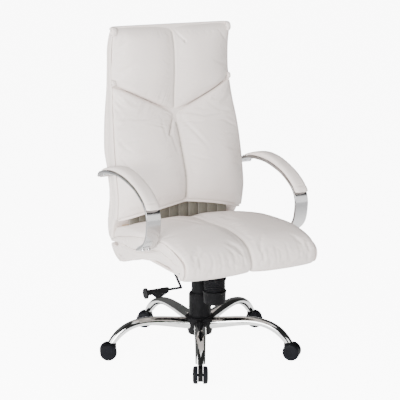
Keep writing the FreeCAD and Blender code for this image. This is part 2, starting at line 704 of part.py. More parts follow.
def back_pieces(ply, brackets):
    w = back_half_width
    wide = 1.3 * w
    # padding and leather behind the ply, rolled round its edges
    rear_face = outline(rear_line, [rear_line[-1], back_top], list(reversed(seam_rear_line)))
    rear = slab(rear_face, -wide, wide).cut(ply)
    save("rear_pad", largest(rounded_width(rear, [(w + 4, 3), (w + 6, 217), (w, 547), (w - 8, 758)])))

    core = slab(outline(seam_line, list(reversed(seam_rear_line))), -w, w).cut(ply)
    pocket = box(-lining_half_width, lining_half_width, ply_back_y - 3 * lining_depth, lining_rear_y,
                 underside_z + 57, underside_z + 179)
    core = core.cut(pocket)
    for bracket in brackets:
        core = core.cut(bracket)
    save("back_core_pad", largest(rounded_width(core, [(w, 97), (w, 547), (w - 8, 758)])))

    # quilted leather panel in the gap between back and seat
    face_y = lining_rear_y - lining_thickness
    lining = box(-lining_half_width, lining_half_width, face_y, lining_rear_y,
                 underside_z + 59, underside_z + 177)
    pitch = 2 * lining_half_width / (lining_grooves + 1)
    for i in range(lining_grooves):
        x = -lining_half_width + pitch * (i + 1)
        lining = lining.cut(upright(groove_radius, underside_z + 55, underside_z + 185, x, face_y))
    save("lining_panel", lining)

    # the two front cushions of the back
    gap = yz(-clearance, 0)
    head_back = on_back((-12, 429)) + [p + gap for p in seam_line[6:]]
    head = outline(head_back, [head_back[-1], head_front_line[-1]], list(reversed(head_front_line)))
    head = rounded_width(slab(head, -wide, wide), [(0.01, 449), (w - 4, 558), (w - 8, 756)])
    save("head_cushion", largest(head))
    lumbar_back = [p + gap for p in seam_line[:9]]
    lumbar = outline(lumbar_back, [lumbar_back[-1], lumbar_front_line[-1]], list(reversed(lumbar_front_line)))
    lumbar = rounded_width(slab(lumbar, -wide, wide), [
        (0.01, 141), (w / 2 + 2, 127), (w + 12, 85), (w + 14, 217), (w + 15, 317), (w + 8, 417), (w - 4, 557),
        (0.01, 448)])
    for bracket in brackets:
        lumbar = lumbar.cut(bracket)
    save("lumbar_cushion", largest(lumbar))
    return rear_face


def seat_pieces(ply, brackets, rear_face):
    """Cushion over core over ply over under-padding."""
    w = seat_half_width
    rim = yz(rim_y, underside_z)
    cushion = slab(outline(seat_top_line, [seat_top_line[-1], rim], [rim, welt_line[-1]],
                           list(reversed(welt_line))), -w, w).cut(ply)
    core_top = [p + yz(0, -clearance) for p in welt_line]
    core = slab(outline(core_top, [core_top[-1], rim], [rim, yz(seat_rear_y, underside_z)],
                        [yz(seat_rear_y, underside_z), core_top[0]]), -w, w)
    pocket_half = ply_half_width + wall_clearance
    pocket = box(-pocket_half, pocket_half, ply_front_y - 2, seat_rear_y + 10, underside_z - 3, ply_top)
    core = core.cut(pocket).cut(ply)
    for bracket in brackets:
        cushion = cushion.cut(bracket)
        core = core.cut(bracket)
    save("seat_cushion", largest(cushion))
    save("seat_core_pad", largest(core))

    # under-padding, with the rolled corner behind and below the ply's bend
    roll = roll_line
    roll_top = underside_z + 47
    stop_y = seat_rear_y + 1
    behind = seat_rear_y + 10
    start = yz(roll[-1].y - 4, underside_z)
    under = slab(outline([yz(ply_front_y, ply_under), yz(stop_y, ply_under)],
                         [yz(stop_y, ply_under), yz(behind, roll_top)],
                         [yz(behind, roll_top), yz(ply_back_y + 26, roll_top)],
                         [yz(ply_back_y + 26, roll_top), roll[0]], roll, [roll[-1], start],
                         [start, yz(ply_front_y, underside_z)]), -back_half_width, back_half_width)
    under = under.cut(ply).cut(slab(rear_face, -2 * w, 2 * w)).cut(core)
    for x, y in seat_bolt_spots:
        under = under.cut(upright(seat_bolt_radius, underside_z - 10, ply_under + 10, x, y))
    save("under_pad", largest(under))


# ---- arms ----
def band_stretch(low_y, high_y, depth_a, depth_b, lower_half):
    """The part of the ribbon between two depths inside the band's outer face, as an outline."""
    a = offset_points(band_line, depth_a, 60)
    b = offset_points(band_line, depth_b, 60)
    keep = [i for i, p in enumerate(a) if low_y <= p.y <= high_y and (p.z < arm_middle_z) == lower_half]
    return outline([a[i] for i in keep], [b[i] for i in reversed(keep)])


def arm_pad():
    """Leather pad on top of the band, its underside just above the band's outer face."""
    curve = spline_through(band_line)
    first, last = curve.FirstParameter, curve.LastParameter
    contact = []
    steps = 60
    for i in range(steps + 1):
        p = curve.value(first + (last - first) * i / steps)
        if p.z > pad_foot_z and p.y < pad_rear_y:
            contact.append(p + yz(0, 0.1))
    pad_in = arm_gap + arm_pad_inset
    pad_out = arm_gap + arm_width - arm_pad_inset
    return slab(outline(pad_top_line, list(reversed(contact))), pad_in, pad_out)


def arm_bolt_spots():
    """Where the bolts go through the band: point on its outer face and inward direction."""
    curve = spline_through(band_line)
    first, last = curve.FirstParameter, curve.LastParameter
    steps = 400
    spots = []
    for y_at, lower_half in ((bracket_front + 18, True), (ply_back_y - 40, False)):
        places = [first + (last - first) * i / steps for i in range(steps + 1)]
        places = [t for t in places if (curve.value(t).z < arm_middle_z) == lower_half]
        t = min(places, key=lambda place: abs(curve.value(place).y - y_at))
        tangent = curve.tangent(t)[0]
        inward = V(0, -tangent.z, tangent.y)
        for x in (arm_gap + 14, arm_gap + arm_width - 16):
            spots.append((curve.value(t) + V(x, 0, 0), inward))
    return spots


def arms(ply):
    t = bracket_thickness
    inner = offset_points(band_line, arm_thickness, 48)
    outer = offset_points(band_line, 0, 48)
    band = slab(outline(outer, list(reversed(inner))), arm_gap, arm_gap + arm_width)
    edges = [e for e in band.Edges if e.Length > 300]
    band = band.makeFillet(arm_rounding, edges)

    # steel tongues out of the seat and the back that carry the band
    depth = arm_thickness + t
    reach = arm_gap + arm_width - 6
    riser_x = ply_half_width - bracket_inset
    stay_x = riser_x - 6
    tongue = slab(band_stretch(bracket_front, bracket_rear + 4, arm_thickness, depth, True), riser_x, reach)
    riser = box(riser_x, riser_x + t, bracket_front, bracket_rear, ply_top, underside_z + 69)
    foot = box(riser_x - 86, riser_x + t, bracket_front, bracket_rear, ply_top, ply_top + t)
    lower = fused(riser, foot, tongue)
    hook = slab(band_stretch(ply_back_y - 55, ply_back_y - 15, arm_thickness, depth, False), stay_x, reach)
    stay = box(stay_x, stay_x + t, ply_back_y - 40, ply_back_y + 11, underside_z + 239, underside_z + 259)
    pieces = [lower, fused(stay, hook).cut(ply)]
    bolts = []
    for at, inward in arm_bolt_spots():
        shank = rod(arm_bolt_radius, at - inward * 0.5, at + inward * (depth + 3))
        head = rod(bolt_head_radius, at - inward * 4.5, at - inward * 0.05)
        socket = rod(hex_key_radius, at - inward * 5, at - inward * 2.5)
        bolts.append(head.fuse(shank).removeSplitter().cut(socket))
        band = band.cut(rod(arm_bolt_radius, at - inward, at + inward * (arm_thickness + 2)))
        hole = rod(arm_bolt_radius, at, at + inward * (depth + 5))
        pieces = [piece.cut(hole) for piece in pieces]
    brackets = pieces + [mirrored(piece) for piece in pieces]
    pad = arm_pad()
    save("arm_left", band)
    save("arm_right", mirrored(band))
    save("arm_pad_left", pad)
    save("arm_pad_right", mirrored(pad))
    save("arm_brackets", *brackets)
    save("arm_bolts", *bolts, *[mirrored(bolt) for bolt in bolts])
    return brackets


os.makedirs("parts", exist_ok=True)
casters(base())
column()
tilt_housing()
tilt_pivot()
seat_plate()
tension_pieces()
lever_pieces()
shell = ply_solid()
save("ply_shell", shell)
arm_brackets = arms(shell)
back_skin = back_pieces(shell, arm_brackets)
seat_pieces(shell, arm_brackets, back_skin)
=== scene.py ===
import json
import math
import bpy
import bmesh
import numpy as np
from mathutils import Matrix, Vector
from mathutils.bvhtree import BVHTree


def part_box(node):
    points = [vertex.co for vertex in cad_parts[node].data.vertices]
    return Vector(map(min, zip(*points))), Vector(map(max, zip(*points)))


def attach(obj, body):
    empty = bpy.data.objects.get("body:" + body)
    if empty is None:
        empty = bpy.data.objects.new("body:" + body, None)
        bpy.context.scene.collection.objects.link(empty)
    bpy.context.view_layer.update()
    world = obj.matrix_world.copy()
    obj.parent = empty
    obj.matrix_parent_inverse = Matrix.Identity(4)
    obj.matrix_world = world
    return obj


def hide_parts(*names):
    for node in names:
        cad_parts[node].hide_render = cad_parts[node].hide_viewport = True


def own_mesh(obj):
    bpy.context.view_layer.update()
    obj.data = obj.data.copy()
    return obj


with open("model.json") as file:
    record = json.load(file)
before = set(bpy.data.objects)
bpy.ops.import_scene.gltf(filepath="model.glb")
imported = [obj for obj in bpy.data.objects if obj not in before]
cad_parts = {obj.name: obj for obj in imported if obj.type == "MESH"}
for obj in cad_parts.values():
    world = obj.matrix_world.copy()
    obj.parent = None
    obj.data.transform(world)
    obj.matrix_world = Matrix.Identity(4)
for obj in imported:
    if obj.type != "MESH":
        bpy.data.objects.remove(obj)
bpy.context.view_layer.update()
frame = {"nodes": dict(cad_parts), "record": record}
scene = bpy.context.scene
MM = 0.001
BOTH_SIDES = (np.array([1, 1, 1]), np.array([-1, 1, 1]))
CUSHION_VOXEL = 0.005
SEAT_VOXEL = 0.0055
UNDER_VOXEL = 0.006
CLOTH_PRESSURE = 5.0
CLOTH_FRAMES = 20
THREAD_LIFT = 0.0002
THREAD_OFFSET = np.array([0.0085, 0, 0])

# studio
# brightness of the surroundings as the eye, reflections and soft light meet them
WORLD_STRENGTH = 3.0
WORLD_SHINE = 0.16
WORLD_BOUNCE = 0.55
DARK_SIDE = (0.30, -0.70, 0.65)
ROOM_LEVEL = 0.25
KEY_WATTS = 430
SIDE_WATTS = 90
TOP_WATTS = 45
FILL_WATTS = 60
FLOOR_COLOUR = (0.92, 0.92, 0.92)
FLOOR_GLOW = 9.0
FLOOR_SHINE = 1.9
FLOOR_BOUNCE = 0.35
FLOOR_HALF = 40.0


# ------------ camera and light
def aimed(obj, at, towards):
    scene.collection.objects.link(obj)
    obj.location = at
    obj.rotation_mode = "QUATERNION"
    obj.rotation_quaternion = (Vector(towards) - Vector(at)).to_track_quat("-Z", "Y")


def make_camera():
    data = bpy.data.cameras.new("camera")
    data.lens = 119.40
    data.sensor_width = 36.0
    data.clip_end = 100.0
    scene.camera = bpy.data.objects.new("camera", data)
    aimed(scene.camera, (-2.08798, -3.98558, 1.60749), (0.0, 0.0, 0.5486))


def softbox(name, at, towards, wide, high, power):
    data = bpy.data.lights.new(name, "AREA")
    data.shape = "RECTANGLE"
    data.size = wide
    data.size_y = high
    data.energy = power
    aimed(bpy.data.objects.new(name, data), at, towards)


# ------------ materials
class Graph:
    """A node tree with short calls for the nodes in it."""

    def __init__(self, tree):
        self.tree = tree

    def node(self, kind, **settings):
        made = self.tree.nodes.new("ShaderNode" + kind)
        for key, value in settings.items():
            if key in made.inputs:
                made.inputs[key].default_value = value
            else:
                setattr(made, key, value)
        return made

    def link(self, a, b):
        self.tree.links.new(a, b)

    def feed(self, made, inputs):
        """Gives sockets their values, by a link where the value comes from another node."""
        for socket, value in inputs:
            if hasattr(value, "is_linked"):
                self.link(value, made.inputs[socket])
            else:
                made.inputs[socket].default_value = (*value, 1) if hasattr(value, "__len__") else value

    def math(self, operation, *values):
        made = self.node("Math", operation=operation)
        self.feed(made, enumerate(values))
        return made.outputs[0]

    def ramp(self, value, stops, interpolation="LINEAR"):
        made = self.node("ValToRGB")
        made.color_ramp.interpolation = interpolation
        elements = made.color_ramp.elements
        for element, (position, colour) in zip(elements, stops):
            element.position = position
            element.color = (*colour, 1) if hasattr(colour, "__len__") else (colour, colour, colour, 1)
        self.link(value, made.inputs["Fac"])
        return made.outputs["Color"]


class Shader(Graph):
    """A Principled material and the textures that feed it."""

    def __init__(self, name, colour, roughness, metallic=0.0, **sockets):
        self.material = bpy.data.materials.new(name)
        self.material.use_nodes = True
        super().__init__(self.material.node_tree)
        self.bsdf = self.tree.nodes["Principled BSDF"]
        sockets.update(Base_Color=(*colour, 1), Roughness=roughness, Metallic=metallic)
        for key, value in sockets.items():
            self.bsdf.inputs[key.replace("_", " ")].default_value = value
        self.material.diffuse_color = (*colour, 1)

    def texture(self, kind, vector, output, **settings):
        made = self.node(kind, **settings)
        self.link(vector, made.inputs["Vector"])
        return made.outputs[output]

    def coords(self, scale=(1, 1, 1)):
        return self.texture("Mapping", self.node("TexCoord").outputs["Object"], "Vector", Scale=scale)

    def noise(self, vector, scale, detail=3.0, rough=0.5, distortion=0.0):
        return self.texture("TexNoise", vector, "Fac", Scale=scale, Detail=detail, Roughness=rough,
                            Distortion=distortion)

    def cells(self, vector, scale, feature="F1"):
        return self.texture("TexVoronoi", vector, "Distance", feature=feature, Scale=scale)

    def blend(self, factor, a, b):
        made = self.node("Mix", data_type="RGBA")
        self.feed(made, ((0, factor), (6, a), (7, b)))
        return made.outputs[2]

    def bumps(self, *layers):
        """Layers of (height, distance in metres, strength), coarse first."""
        normal = None
        for height, distance, strength in layers:
            bump = self.node("Bump", Distance=distance, Strength=strength)
            self.link(height, bump.inputs["Height"])
            if normal is not None:
                self.link(normal, bump.inputs["Normal"])
            normal = bump.outputs["Normal"]
        self.link(normal, self.bsdf.inputs["Normal"])

    def set(self, socket, value):
        self.link(value, self.bsdf.inputs[socket])


# painted shade: the darker colour laid into the seams and grooves of the covers, where shade falls
PAINTED_SHADE_COLOUR = (0.36, 0.325, 0.285)


def shaded(colour, factor):
    return tuple(c * factor for c in colour)


def leather_material(name="white_leather", tint=(0.82, 0.74, 0.695), seams=True):
    s = Shader(name, tint, 0.46, Specular_IOR_Level=0.42, Coat_Weight=0.05, Coat_Roughness=0.35)
    v = s.coords()
    broad = s.noise(v, 7.0, 3.0, 0.5)
    fine = s.noise(v, 160.0, 2.0, 0.6)
    dark, light = shaded(tint, 0.955), shaded(tint, 1.025)
    colour = s.ramp(broad, [(0.3, dark), (0.7, light)])
    colour = s.blend(0.25, colour, s.ramp(fine, [(0.35, dark), (0.65, light)]))
    # painted shade: the colour darkens where the mesh's attribute marks a seam or groove
    if seams:
        painted_shade_mask = s.node("Attribute", attribute_name="painted_groove_shade")
        colour = s.blend(painted_shade_mask.outputs["Fac"], colour, PAINTED_SHADE_COLOUR)
    s.set("Base Color", colour)
    s.set("Roughness", s.ramp(s.noise(v, 45.0, 3.0), [(0.3, 0.42), (0.75, 0.54)]))
    pores = s.cells(v, 850.0)
    grain = s.cells(v, 420.0, "DISTANCE_TO_EDGE")
    soft = s.noise(v, 24.0, 2.0, 0.45, 0.4)
    s.bumps((soft, 0.004, 0.25), (grain, 0.0004, 0.35), (pores, 0.0002, 0.25))
    return s.material


def chrome_material():
    s = Shader("chrome", (0.60, 0.61, 0.60), 0.09, 1.0)
    v = s.coords()
    s.set("Base Color", s.ramp(s.noise(v, 9.0), [(0.35, (0.52, 0.53, 0.52)), (0.7, (0.66, 0.665, 0.66))]))
    s.set("Roughness", s.ramp(s.noise(v, 60.0, 4.0), [(0.35, 0.06), (0.75, 0.13)]))
    s.bumps((s.noise(v, 14.0, 1.0), 0.002, 0.06))
    return s.material


def arm_metal_material():
    s = Shader("polished_arm", (0.42, 0.42, 0.42), 0.2, 1.0)
    streak = s.noise(s.coords((900, 14, 14)), 1.0, 3.0, 0.6)
    tone = s.noise(s.coords(), 12.0)
    s.set("Base Color", s.ramp(tone, [(0.3, (0.36, 0.36, 0.365)), (0.7, (0.46, 0.455, 0.45))]))
    s.set("Roughness", s.ramp(streak, [(0.3, 0.13), (0.75, 0.26)]))
    s.bumps((streak, 0.0004, 0.25))
    return s.material


def plastic_material(name, colour, low, high, grain=1400.0):
    s = Shader(name, colour, (low + high) / 2, 0.0, Specular_IOR_Level=0.06)
    v = s.coords()
    s.set("Base Color", s.ramp(s.noise(v, 30.0, 4.0), [(0.3, shaded(colour, 0.75)), (0.75, shaded(colour, 1.5))]))
    s.set("Roughness", s.ramp(s.noise(v, 80.0, 3.0), [(0.3, low), (0.7, high)]))
    s.bumps((s.noise(v, grain, 2.0, 0.7), 0.0003, 0.25))
    return s.material


def steel_material(name, colour, low, high):
    s = Shader(name, colour, (low + high) / 2, 1.0)
    streak = s.noise(s.coords((60, 60, 600)), 1.0, 3.0, 0.6)
    wear = s.noise(s.coords(), 40.0, 3.0)
    s.set("Base Color", s.ramp(wear, [(0.3, shaded(colour, 0.85)), (0.7, colour)]))
    s.set("Roughness", s.ramp(streak, [(0.3, low), (0.7, high)]))
    s.bumps((streak, 0.0003, 0.2))
    return s.material


def wood_material():
    s = Shader("plywood", (0.52, 0.36, 0.2), 0.6)
    rings = s.noise(s.coords((3, 1, 30)), 6.0, 4.0, 0.6, 1.2)
    s.set("Base Color", s.ramp(rings, [(0.3, (0.42, 0.28, 0.15)), (0.7, (0.6, 0.43, 0.25))]))
    s.set("Roughness", s.ramp(rings, [(0.3, 0.5), (0.7, 0.7)]))
    s.bumps((rings, 0.0006, 0.2))
    return s.material


def make_world():
    """A white studio low down behind the chair; the unlit room overhead and on the side the chair faces."""
    world = bpy.data.worlds.new("studio")
    scene.world = world
    world.use_nodes = True
    world.node_tree.nodes.clear()
    g = Graph(world.node_tree)
    dot = g.node("VectorMath", operation="DOT_PRODUCT")
    dot.inputs[1].default_value = DARK_SIDE
    g.link(g.node("TexCoord").outputs["Generated"], dot.inputs[0])
    back, out, path = g.node("Background"), g.node("OutputWorld"), g.node("LightPath")
    total = 0.0
    for ray, strength in (("Camera", WORLD_STRENGTH), ("Glossy", WORLD_SHINE), ("Diffuse", WORLD_BOUNCE)):
        total = g.math("MULTIPLY_ADD", path.outputs["Is %s Ray" % ray], strength, total)
    g.link(total, back.inputs["Strength"])
    g.link(g.ramp(dot.outputs["Value"], [(0.06, 1.0), (0.40, ROOM_LEVEL)], "EASE"), back.inputs["Color"])
    g.link(back.outputs["Background"], out.inputs["Surface"])


LEATHER = leather_material()
LINING = leather_material("lining_leather", (0.20, 0.185, 0.15))
THREAD = leather_material("thread", (0.70, 0.675, 0.64), seams=False)
FINISHES = {
    "white_leather": LEATHER,
    "upholstery_foam": LEATHER,
    "polished_arm": arm_metal_material(),
    "chrome": chrome_material(),
    "black_plastic": plastic_material("black_plastic", (0.004, 0.004, 0.0045), 0.42, 0.56),
    "caster_nylon": plastic_material("caster_nylon", (0.005, 0.0053, 0.007), 0.36, 0.5),
    "black_steel": plastic_material("black_steel", (0.006, 0.006, 0.007), 0.40, 0.55, 700.0),
    "steel": steel_material("steel", (0.58, 0.58, 0.59), 0.22, 0.38),
    "plywood": wood_material(),
}


def finish_cad_nodes():
    slots = {part["node"]: part["material_slot"] for part in frame["record"]["subparts"]}
    for name, obj in frame["nodes"].items():
        material = FINISHES[slots[name]]
        obj.data.materials.clear()
        obj.data.materials.append(material)
        for polygon in obj.data.polygons:
            polygon.material_index = 0


# ------------ curves and meshes
def smooth_line(points, count=200):
    """A smooth curve through points, at even steps of its length. Any dimension."""
    p = np.array(points, float)
    if len(p) == 2:
        return p[0] + (p[1] - p[0]) * np.linspace(0, 1, count)[:, None]
    knots = np.concatenate([[0], np.cumsum(np.sqrt(np.linalg.norm(np.diff(p, axis=0), axis=1)))])
    ends = [2 * p[0] - p[1], *p, 2 * p[-1] - p[-2]]
    kt = np.concatenate([[knots[0] - (knots[1] - knots[0])], knots, [knots[-1] + (knots[-1] - knots[-2])]])
    out = []
    for i in range(1, len(ends) - 2):
        t0, t1, t2, t3 = kt[i - 1:i + 3]
        p0, p1, p2, p3 = (np.array(q) for q in ends[i - 1:i + 3])
        t = np.linspace(t1, t2, 24, endpoint=i == len(ends) - 3)[:, None]
        a1 = (t1 - t) / (t1 - t0) * p0 + (t - t0) / (t1 - t0) * p1
        a2 = (t2 - t) / (t2 - t1) * p1 + (t - t1) / (t2 - t1) * p2
        a3 = (t3 - t) / (t3 - t2) * p2 + (t - t2) / (t3 - t2) * p3
        b1 = (t2 - t) / (t2 - t0) * a1 + (t - t0) / (t2 - t0) * a2
        b2 = (t3 - t) / (t3 - t1) * a2 + (t - t1) / (t3 - t1) * a3
        out.append((t2 - t) / (t2 - t1) * b1 + (t - t1) / (t2 - t1) * b2)
    dense = np.concatenate(out)
    along = np.concatenate([[0], np.cumsum(np.linalg.norm(np.diff(dense, axis=0), axis=1))])
    steps = np.linspace(0, along[-1], count)
    return np.stack([np.interp(steps, along, dense[:, k]) for k in range(dense.shape[1])], axis=1)


def lookup(points):
    """A function of height from (value, height) points."""
    dense = smooth_line(points, 400)
    order = np.argsort(dense[:, 1])
    heights, values = dense[order, 1], dense[order, 0]
    return lambda z: np.interp(z, heights, values)


def directions(path):
    """Unit tangents of a path."""
    tangent = np.gradient(path, axis=0)
    return tangent / np.linalg.norm(tangent, axis=1, keepdims=True)


def smoothstep(a, b, x):
    t = np.clip((x - a) / (b - a), 0, 1)
    return t * t * (3 - 2 * t)


def new_object(name, verts, faces, material):
    mesh = bpy.data.meshes.new(name)
    mesh.from_pydata([tuple(v) for v in verts], [], [tuple(f) for f in faces])
    mesh.validate()
    obj = bpy.data.objects.new(name, mesh)
    scene.collection.objects.link(obj)
    mesh.materials.append(material)
    mesh.shade_smooth()
    return obj


def ring_mesh(name, rings, material):
    """Rings (n, m, 3) joined in order and closed at both ends; each ring is a closed loop."""
    rings = np.asarray(rings, float)
    n, m, _ = rings.shape
    verts = np.concatenate([rings.reshape(-1, 3), [rings[0].mean(0), rings[-1].mean(0)]])
    around = [(j, (j + 1) % m) for j in range(m)]
    faces = [(i * m + j, i * m + k, (i + 1) * m + k, (i + 1) * m + j) for i in range(n - 1) for j, k in around]
    for j, k in around:
        faces.append((n * m, k, j))
        faces.append((n * m + 1, (n - 1) * m + j, (n - 1) * m + k))
    obj = new_object(name, verts, faces, material)
    fix_normals(obj)
    return obj


def fix_normals(obj):
    bm = bmesh.new()
    bm.from_mesh(obj.data)
    bmesh.ops.recalc_face_normals(bm, faces=bm.faces)
    bm.to_mesh(obj.data)
    bm.free()


def applied(obj):
    """Replaces the mesh by what the modifiers make of it."""
    dg = bpy.context.evaluated_depsgraph_get()
    dg.update()
    mesh = bpy.data.meshes.new_from_object(obj.evaluated_get(dg))
    materials = list(obj.data.materials)
    obj.modifiers.clear()
    obj.data = mesh
    mesh.materials.clear()
    for material in materials:
        mesh.materials.append(material)
    mesh.shade_smooth()


def soften(obj, passes):
    m = obj.modifiers.new("soften", "SMOOTH")
    m.factor = 0.5
    m.iterations = passes
    applied(obj)


def remesh(obj, voxel):
    m = obj.modifiers.new("remesh", "REMESH")
    m.mode = "VOXEL"
    m.voxel_size = voxel
    m.use_smooth_shade = True
    applied(obj)
    soften(obj, 3)


def subdivide(obj):
    m = obj.modifiers.new("subdivision", "SUBSURF")
    m.levels = m.render_levels = 1
    applied(obj)


def coordinates(obj, what="co"):
    values = np.zeros(len(obj.data.vertices) * 3)
    obj.data.vertices.foreach_get(what, values)
    return values.reshape(-1, 3)


def move_to(obj, co):
    obj.data.vertices.foreach_set("co", np.asarray(co, float).ravel())
    obj.data.update()


def inflate(obj, free, cap, growth):
    """Blows the skin out by cloth simulation. free is 1 where the skin may move and 0 where a seam holds it."""
    start = coordinates(obj)
    group = obj.vertex_groups.new(name="held")
    for level in range(1, 11):
        chosen = np.nonzero(((1 - free) * 10).round().astype(int) == level)[0]
        if len(chosen):
            group.add([int(i) for i in chosen], level / 10, "REPLACE")
    cloth = obj.modifiers.new("cloth", "CLOTH")
    settings = dict(quality=4, mass=0.4, tension_stiffness=22, compression_stiffness=22, shear_stiffness=12,
                    bending_stiffness=0.6, use_pressure=True, uniform_pressure_force=CLOTH_PRESSURE,
                    vertex_group_mass="held", pin_stiffness=1.0, shrink_min=-growth, shrink_max=-growth)
    for key, value in settings.items():
        setattr(cloth.settings, key, value)
    cloth.settings.effector_weights.gravity = 0
    cloth.collision_settings.use_collision = False
    cloth.collision_settings.use_self_collision = False
    cloth.point_cache.frame_start = 1
    cloth.point_cache.frame_end = CLOTH_FRAMES
    for f in range(1, CLOTH_FRAMES + 1):
        scene.frame_set(f)
    applied(obj)
    scene.frame_set(1)
    shift = coordinates(obj) - start
    size = np.linalg.norm(shift, axis=1, keepdims=True)
    limited = cap * np.tanh(size / cap) / np.maximum(size, 1e-9)
    move_to(obj, start + shift * limited * (free ** 0.5)[:, None])


# stores painted shade per point: how far the cover's colour darkens in seams and grooves
def store_painted_shade(obj, values):
    data = obj.data.attributes.get("painted_groove_shade") or obj.data.attributes.new("painted_groove_shade", "FLOAT", "POINT")
    data.data.foreach_set("value", np.clip(values, 0, 1).astype(np.float32))


def distance_to(points, path):
    """Distance from each point to a polyline, and how far along it the nearest place is (0 to 1)."""
    path = np.asarray(path, float)
    best = np.full(len(points), 1e9)
    where = np.zeros(len(points))
    lengths = np.linalg.norm(np.diff(path, axis=0), axis=1)
    total = lengths.sum()
    passed = 0.0
    for a, b, length in zip(path[:-1], path[1:], lengths):
        d = b - a
        t = np.clip(((points - a) @ d) / max(length ** 2, 1e-12), 0, 1)
        gap = np.linalg.norm(points - (a + t[:, None] * d), axis=1)
        closer = gap < best
        best[closer] = gap[closer]
        where[closer] = (passed + t[closer] * length) / total
        passed += length
    return best, where


def tube(name, path, radius, material, sides, flat=1.0):
    """A round or flattened roll along a path of points; radius may be one number or one per point."""
    path = np.asarray(path, float)
    radius = np.full(len(path), 1.0) * radius
    side = np.array((0.0, 0.0, 1.0))
    a = np.linspace(0, 2 * math.pi, sides, endpoint=False)[:, None]
    rings = []
    for place, along, r in zip(path, directions(path), radius):
        side = side - along * (side @ along)
        side /= np.linalg.norm(side)
        other = np.cross(along, side)
        rings.append(place + r * (np.cos(a) * side + flat * np.sin(a) * other))
    return ring_mesh(name, rings, material)


def joined(name, parts):
    """One object from several, in their own places."""
    verts, faces, base = [], [], 0
    material = parts[0].data.materials[0]
    for part in parts:
        co = coordinates(part)
        verts.append(co)
        faces += [tuple(base + v for v in p.vertices) for p in part.data.polygons]
        base += len(co)
        bpy.data.objects.remove(part)
    return new_object(name, np.concatenate(verts), faces, material)


# ------------ outlines of the upholstery, in millimetres
# front of the back at its centre seam, as (y, height)
centre_y = lookup([(239, 1141), (217, 1119), (202, 1086), (194, 1051), (192, 1016), (191, 981), (195, 927), (199, 872),
                   (196, 832), (183, 803), (162, 767), (142, 723), (119, 669), (101, 619), (99, 564), (105, 525),
                   (118, 470)])
# seam between the front cushions and the sides, and half the width there
side_y = lookup([(222, 1141), (216, 1110), (224, 1074), (228, 1025), (227, 972), (214, 914), (204, 861), (186, 799),
                 (174, 746), (163, 693), (145, 596), (139, 554), (143, 517), (151, 479), (156, 462)])
half_x = lookup([(226, 1141), (228, 1110), (230, 1025), (231, 972), (233, 914), (238, 861), (244, 799), (248, 746),
                 (250, 693), (251, 596), (250, 554), (249, 517), (248, 479), (246, 440), (242, 386)])
# outer edge of the rear roll, and the rear panel at its middle
roll_y = lookup([(231, 1139), (247, 1114), (258, 1089), (266, 1058), (266, 1018), (268, 946), (270, 893), (269, 821),
                 (264, 764), (256, 697), (243, 667), (231, 641), (223, 605), (217, 582), (217, 559), (221, 525),
                 (232, 489), (242, 454), (245, 417), (240, 393), (232, 380)])
rear_y = lookup([(238, 1140), (260, 1110), (276, 1060), (283, 980), (284, 880), (280, 775), (271, 705), (255, 650),
                 (240, 591), (234, 527), (243, 450), (240, 400), (236, 384)])


def v_seam(u):
    """Height of the V seam, and of the arched lower edge, at a share of the half width."""
    return 832 + 109 * np.abs(u) ** 1.02


def arch(u):
    return 527 - 58 * np.abs(u) ** 1.7


def crown(u, depth):
    """Two padded halves: how far the cover stands out in front of its seams."""
    a = np.abs(u)
    inner = 1 - np.clip(1 - a / 0.42, 0, 1) ** 2.1
    outer = 1 - np.clip((a - 0.55) / 0.45, 0, 1) ** 2.6
    return depth * inner * (0.25 + 0.75 * outer)


def rolled(distance, radius, depth):
    """How far an edge turns in, at a distance from its seam."""
    t = np.clip(distance / radius, 0, 1)
    return depth * (1 - np.sqrt(np.clip(1 - (1 - t) ** 2, 0, 1)))


def back_front(u, z, edge_top, edge_low, depth, top_roll, low_roll):
    """The y of a front cushion's cover."""
    g = np.abs(u) ** 3.2
    y = centre_y(z) * (1 - g) + side_y(z) * g
    return y - crown(u, depth) + rolled(edge_top, *top_roll) + rolled(edge_low, *low_roll)


def cushion_rings(z_top, z_low, depth, top_roll, low_roll):
    """Closed rings of a front cushion, one per share of the width, from front top round to back top."""
    columns, rows, inset = 61, 44, 3
    rings = []
    for u in np.linspace(-1, 1, columns):
        top, low = z_top(u), z_low(u)
        z = top + (low - top) * np.linspace(0, 1, rows)
        y = back_front(u, z, np.abs(top - z), np.abs(z - low), depth, top_roll, low_roll)
        x = u * half_x(z)
        back_z = z[::-1][::3]
        back_y = side_y(back_z) + inset
        back_y = np.maximum(back_y, np.interp(back_z, z[::-1], y[::-1]) + 9)
        back = np.stack([u * half_x(back_z) * 0.995, back_y, back_z], 1)
        rings.append(np.concatenate([np.stack([x, y, z], 1), back]))
    return np.array(rings) * MM


# ------------ front cushions of the back
LUMBAR_DEPTH = 21
LUMBAR_ROLLS = ((17, 17), (22, 6))


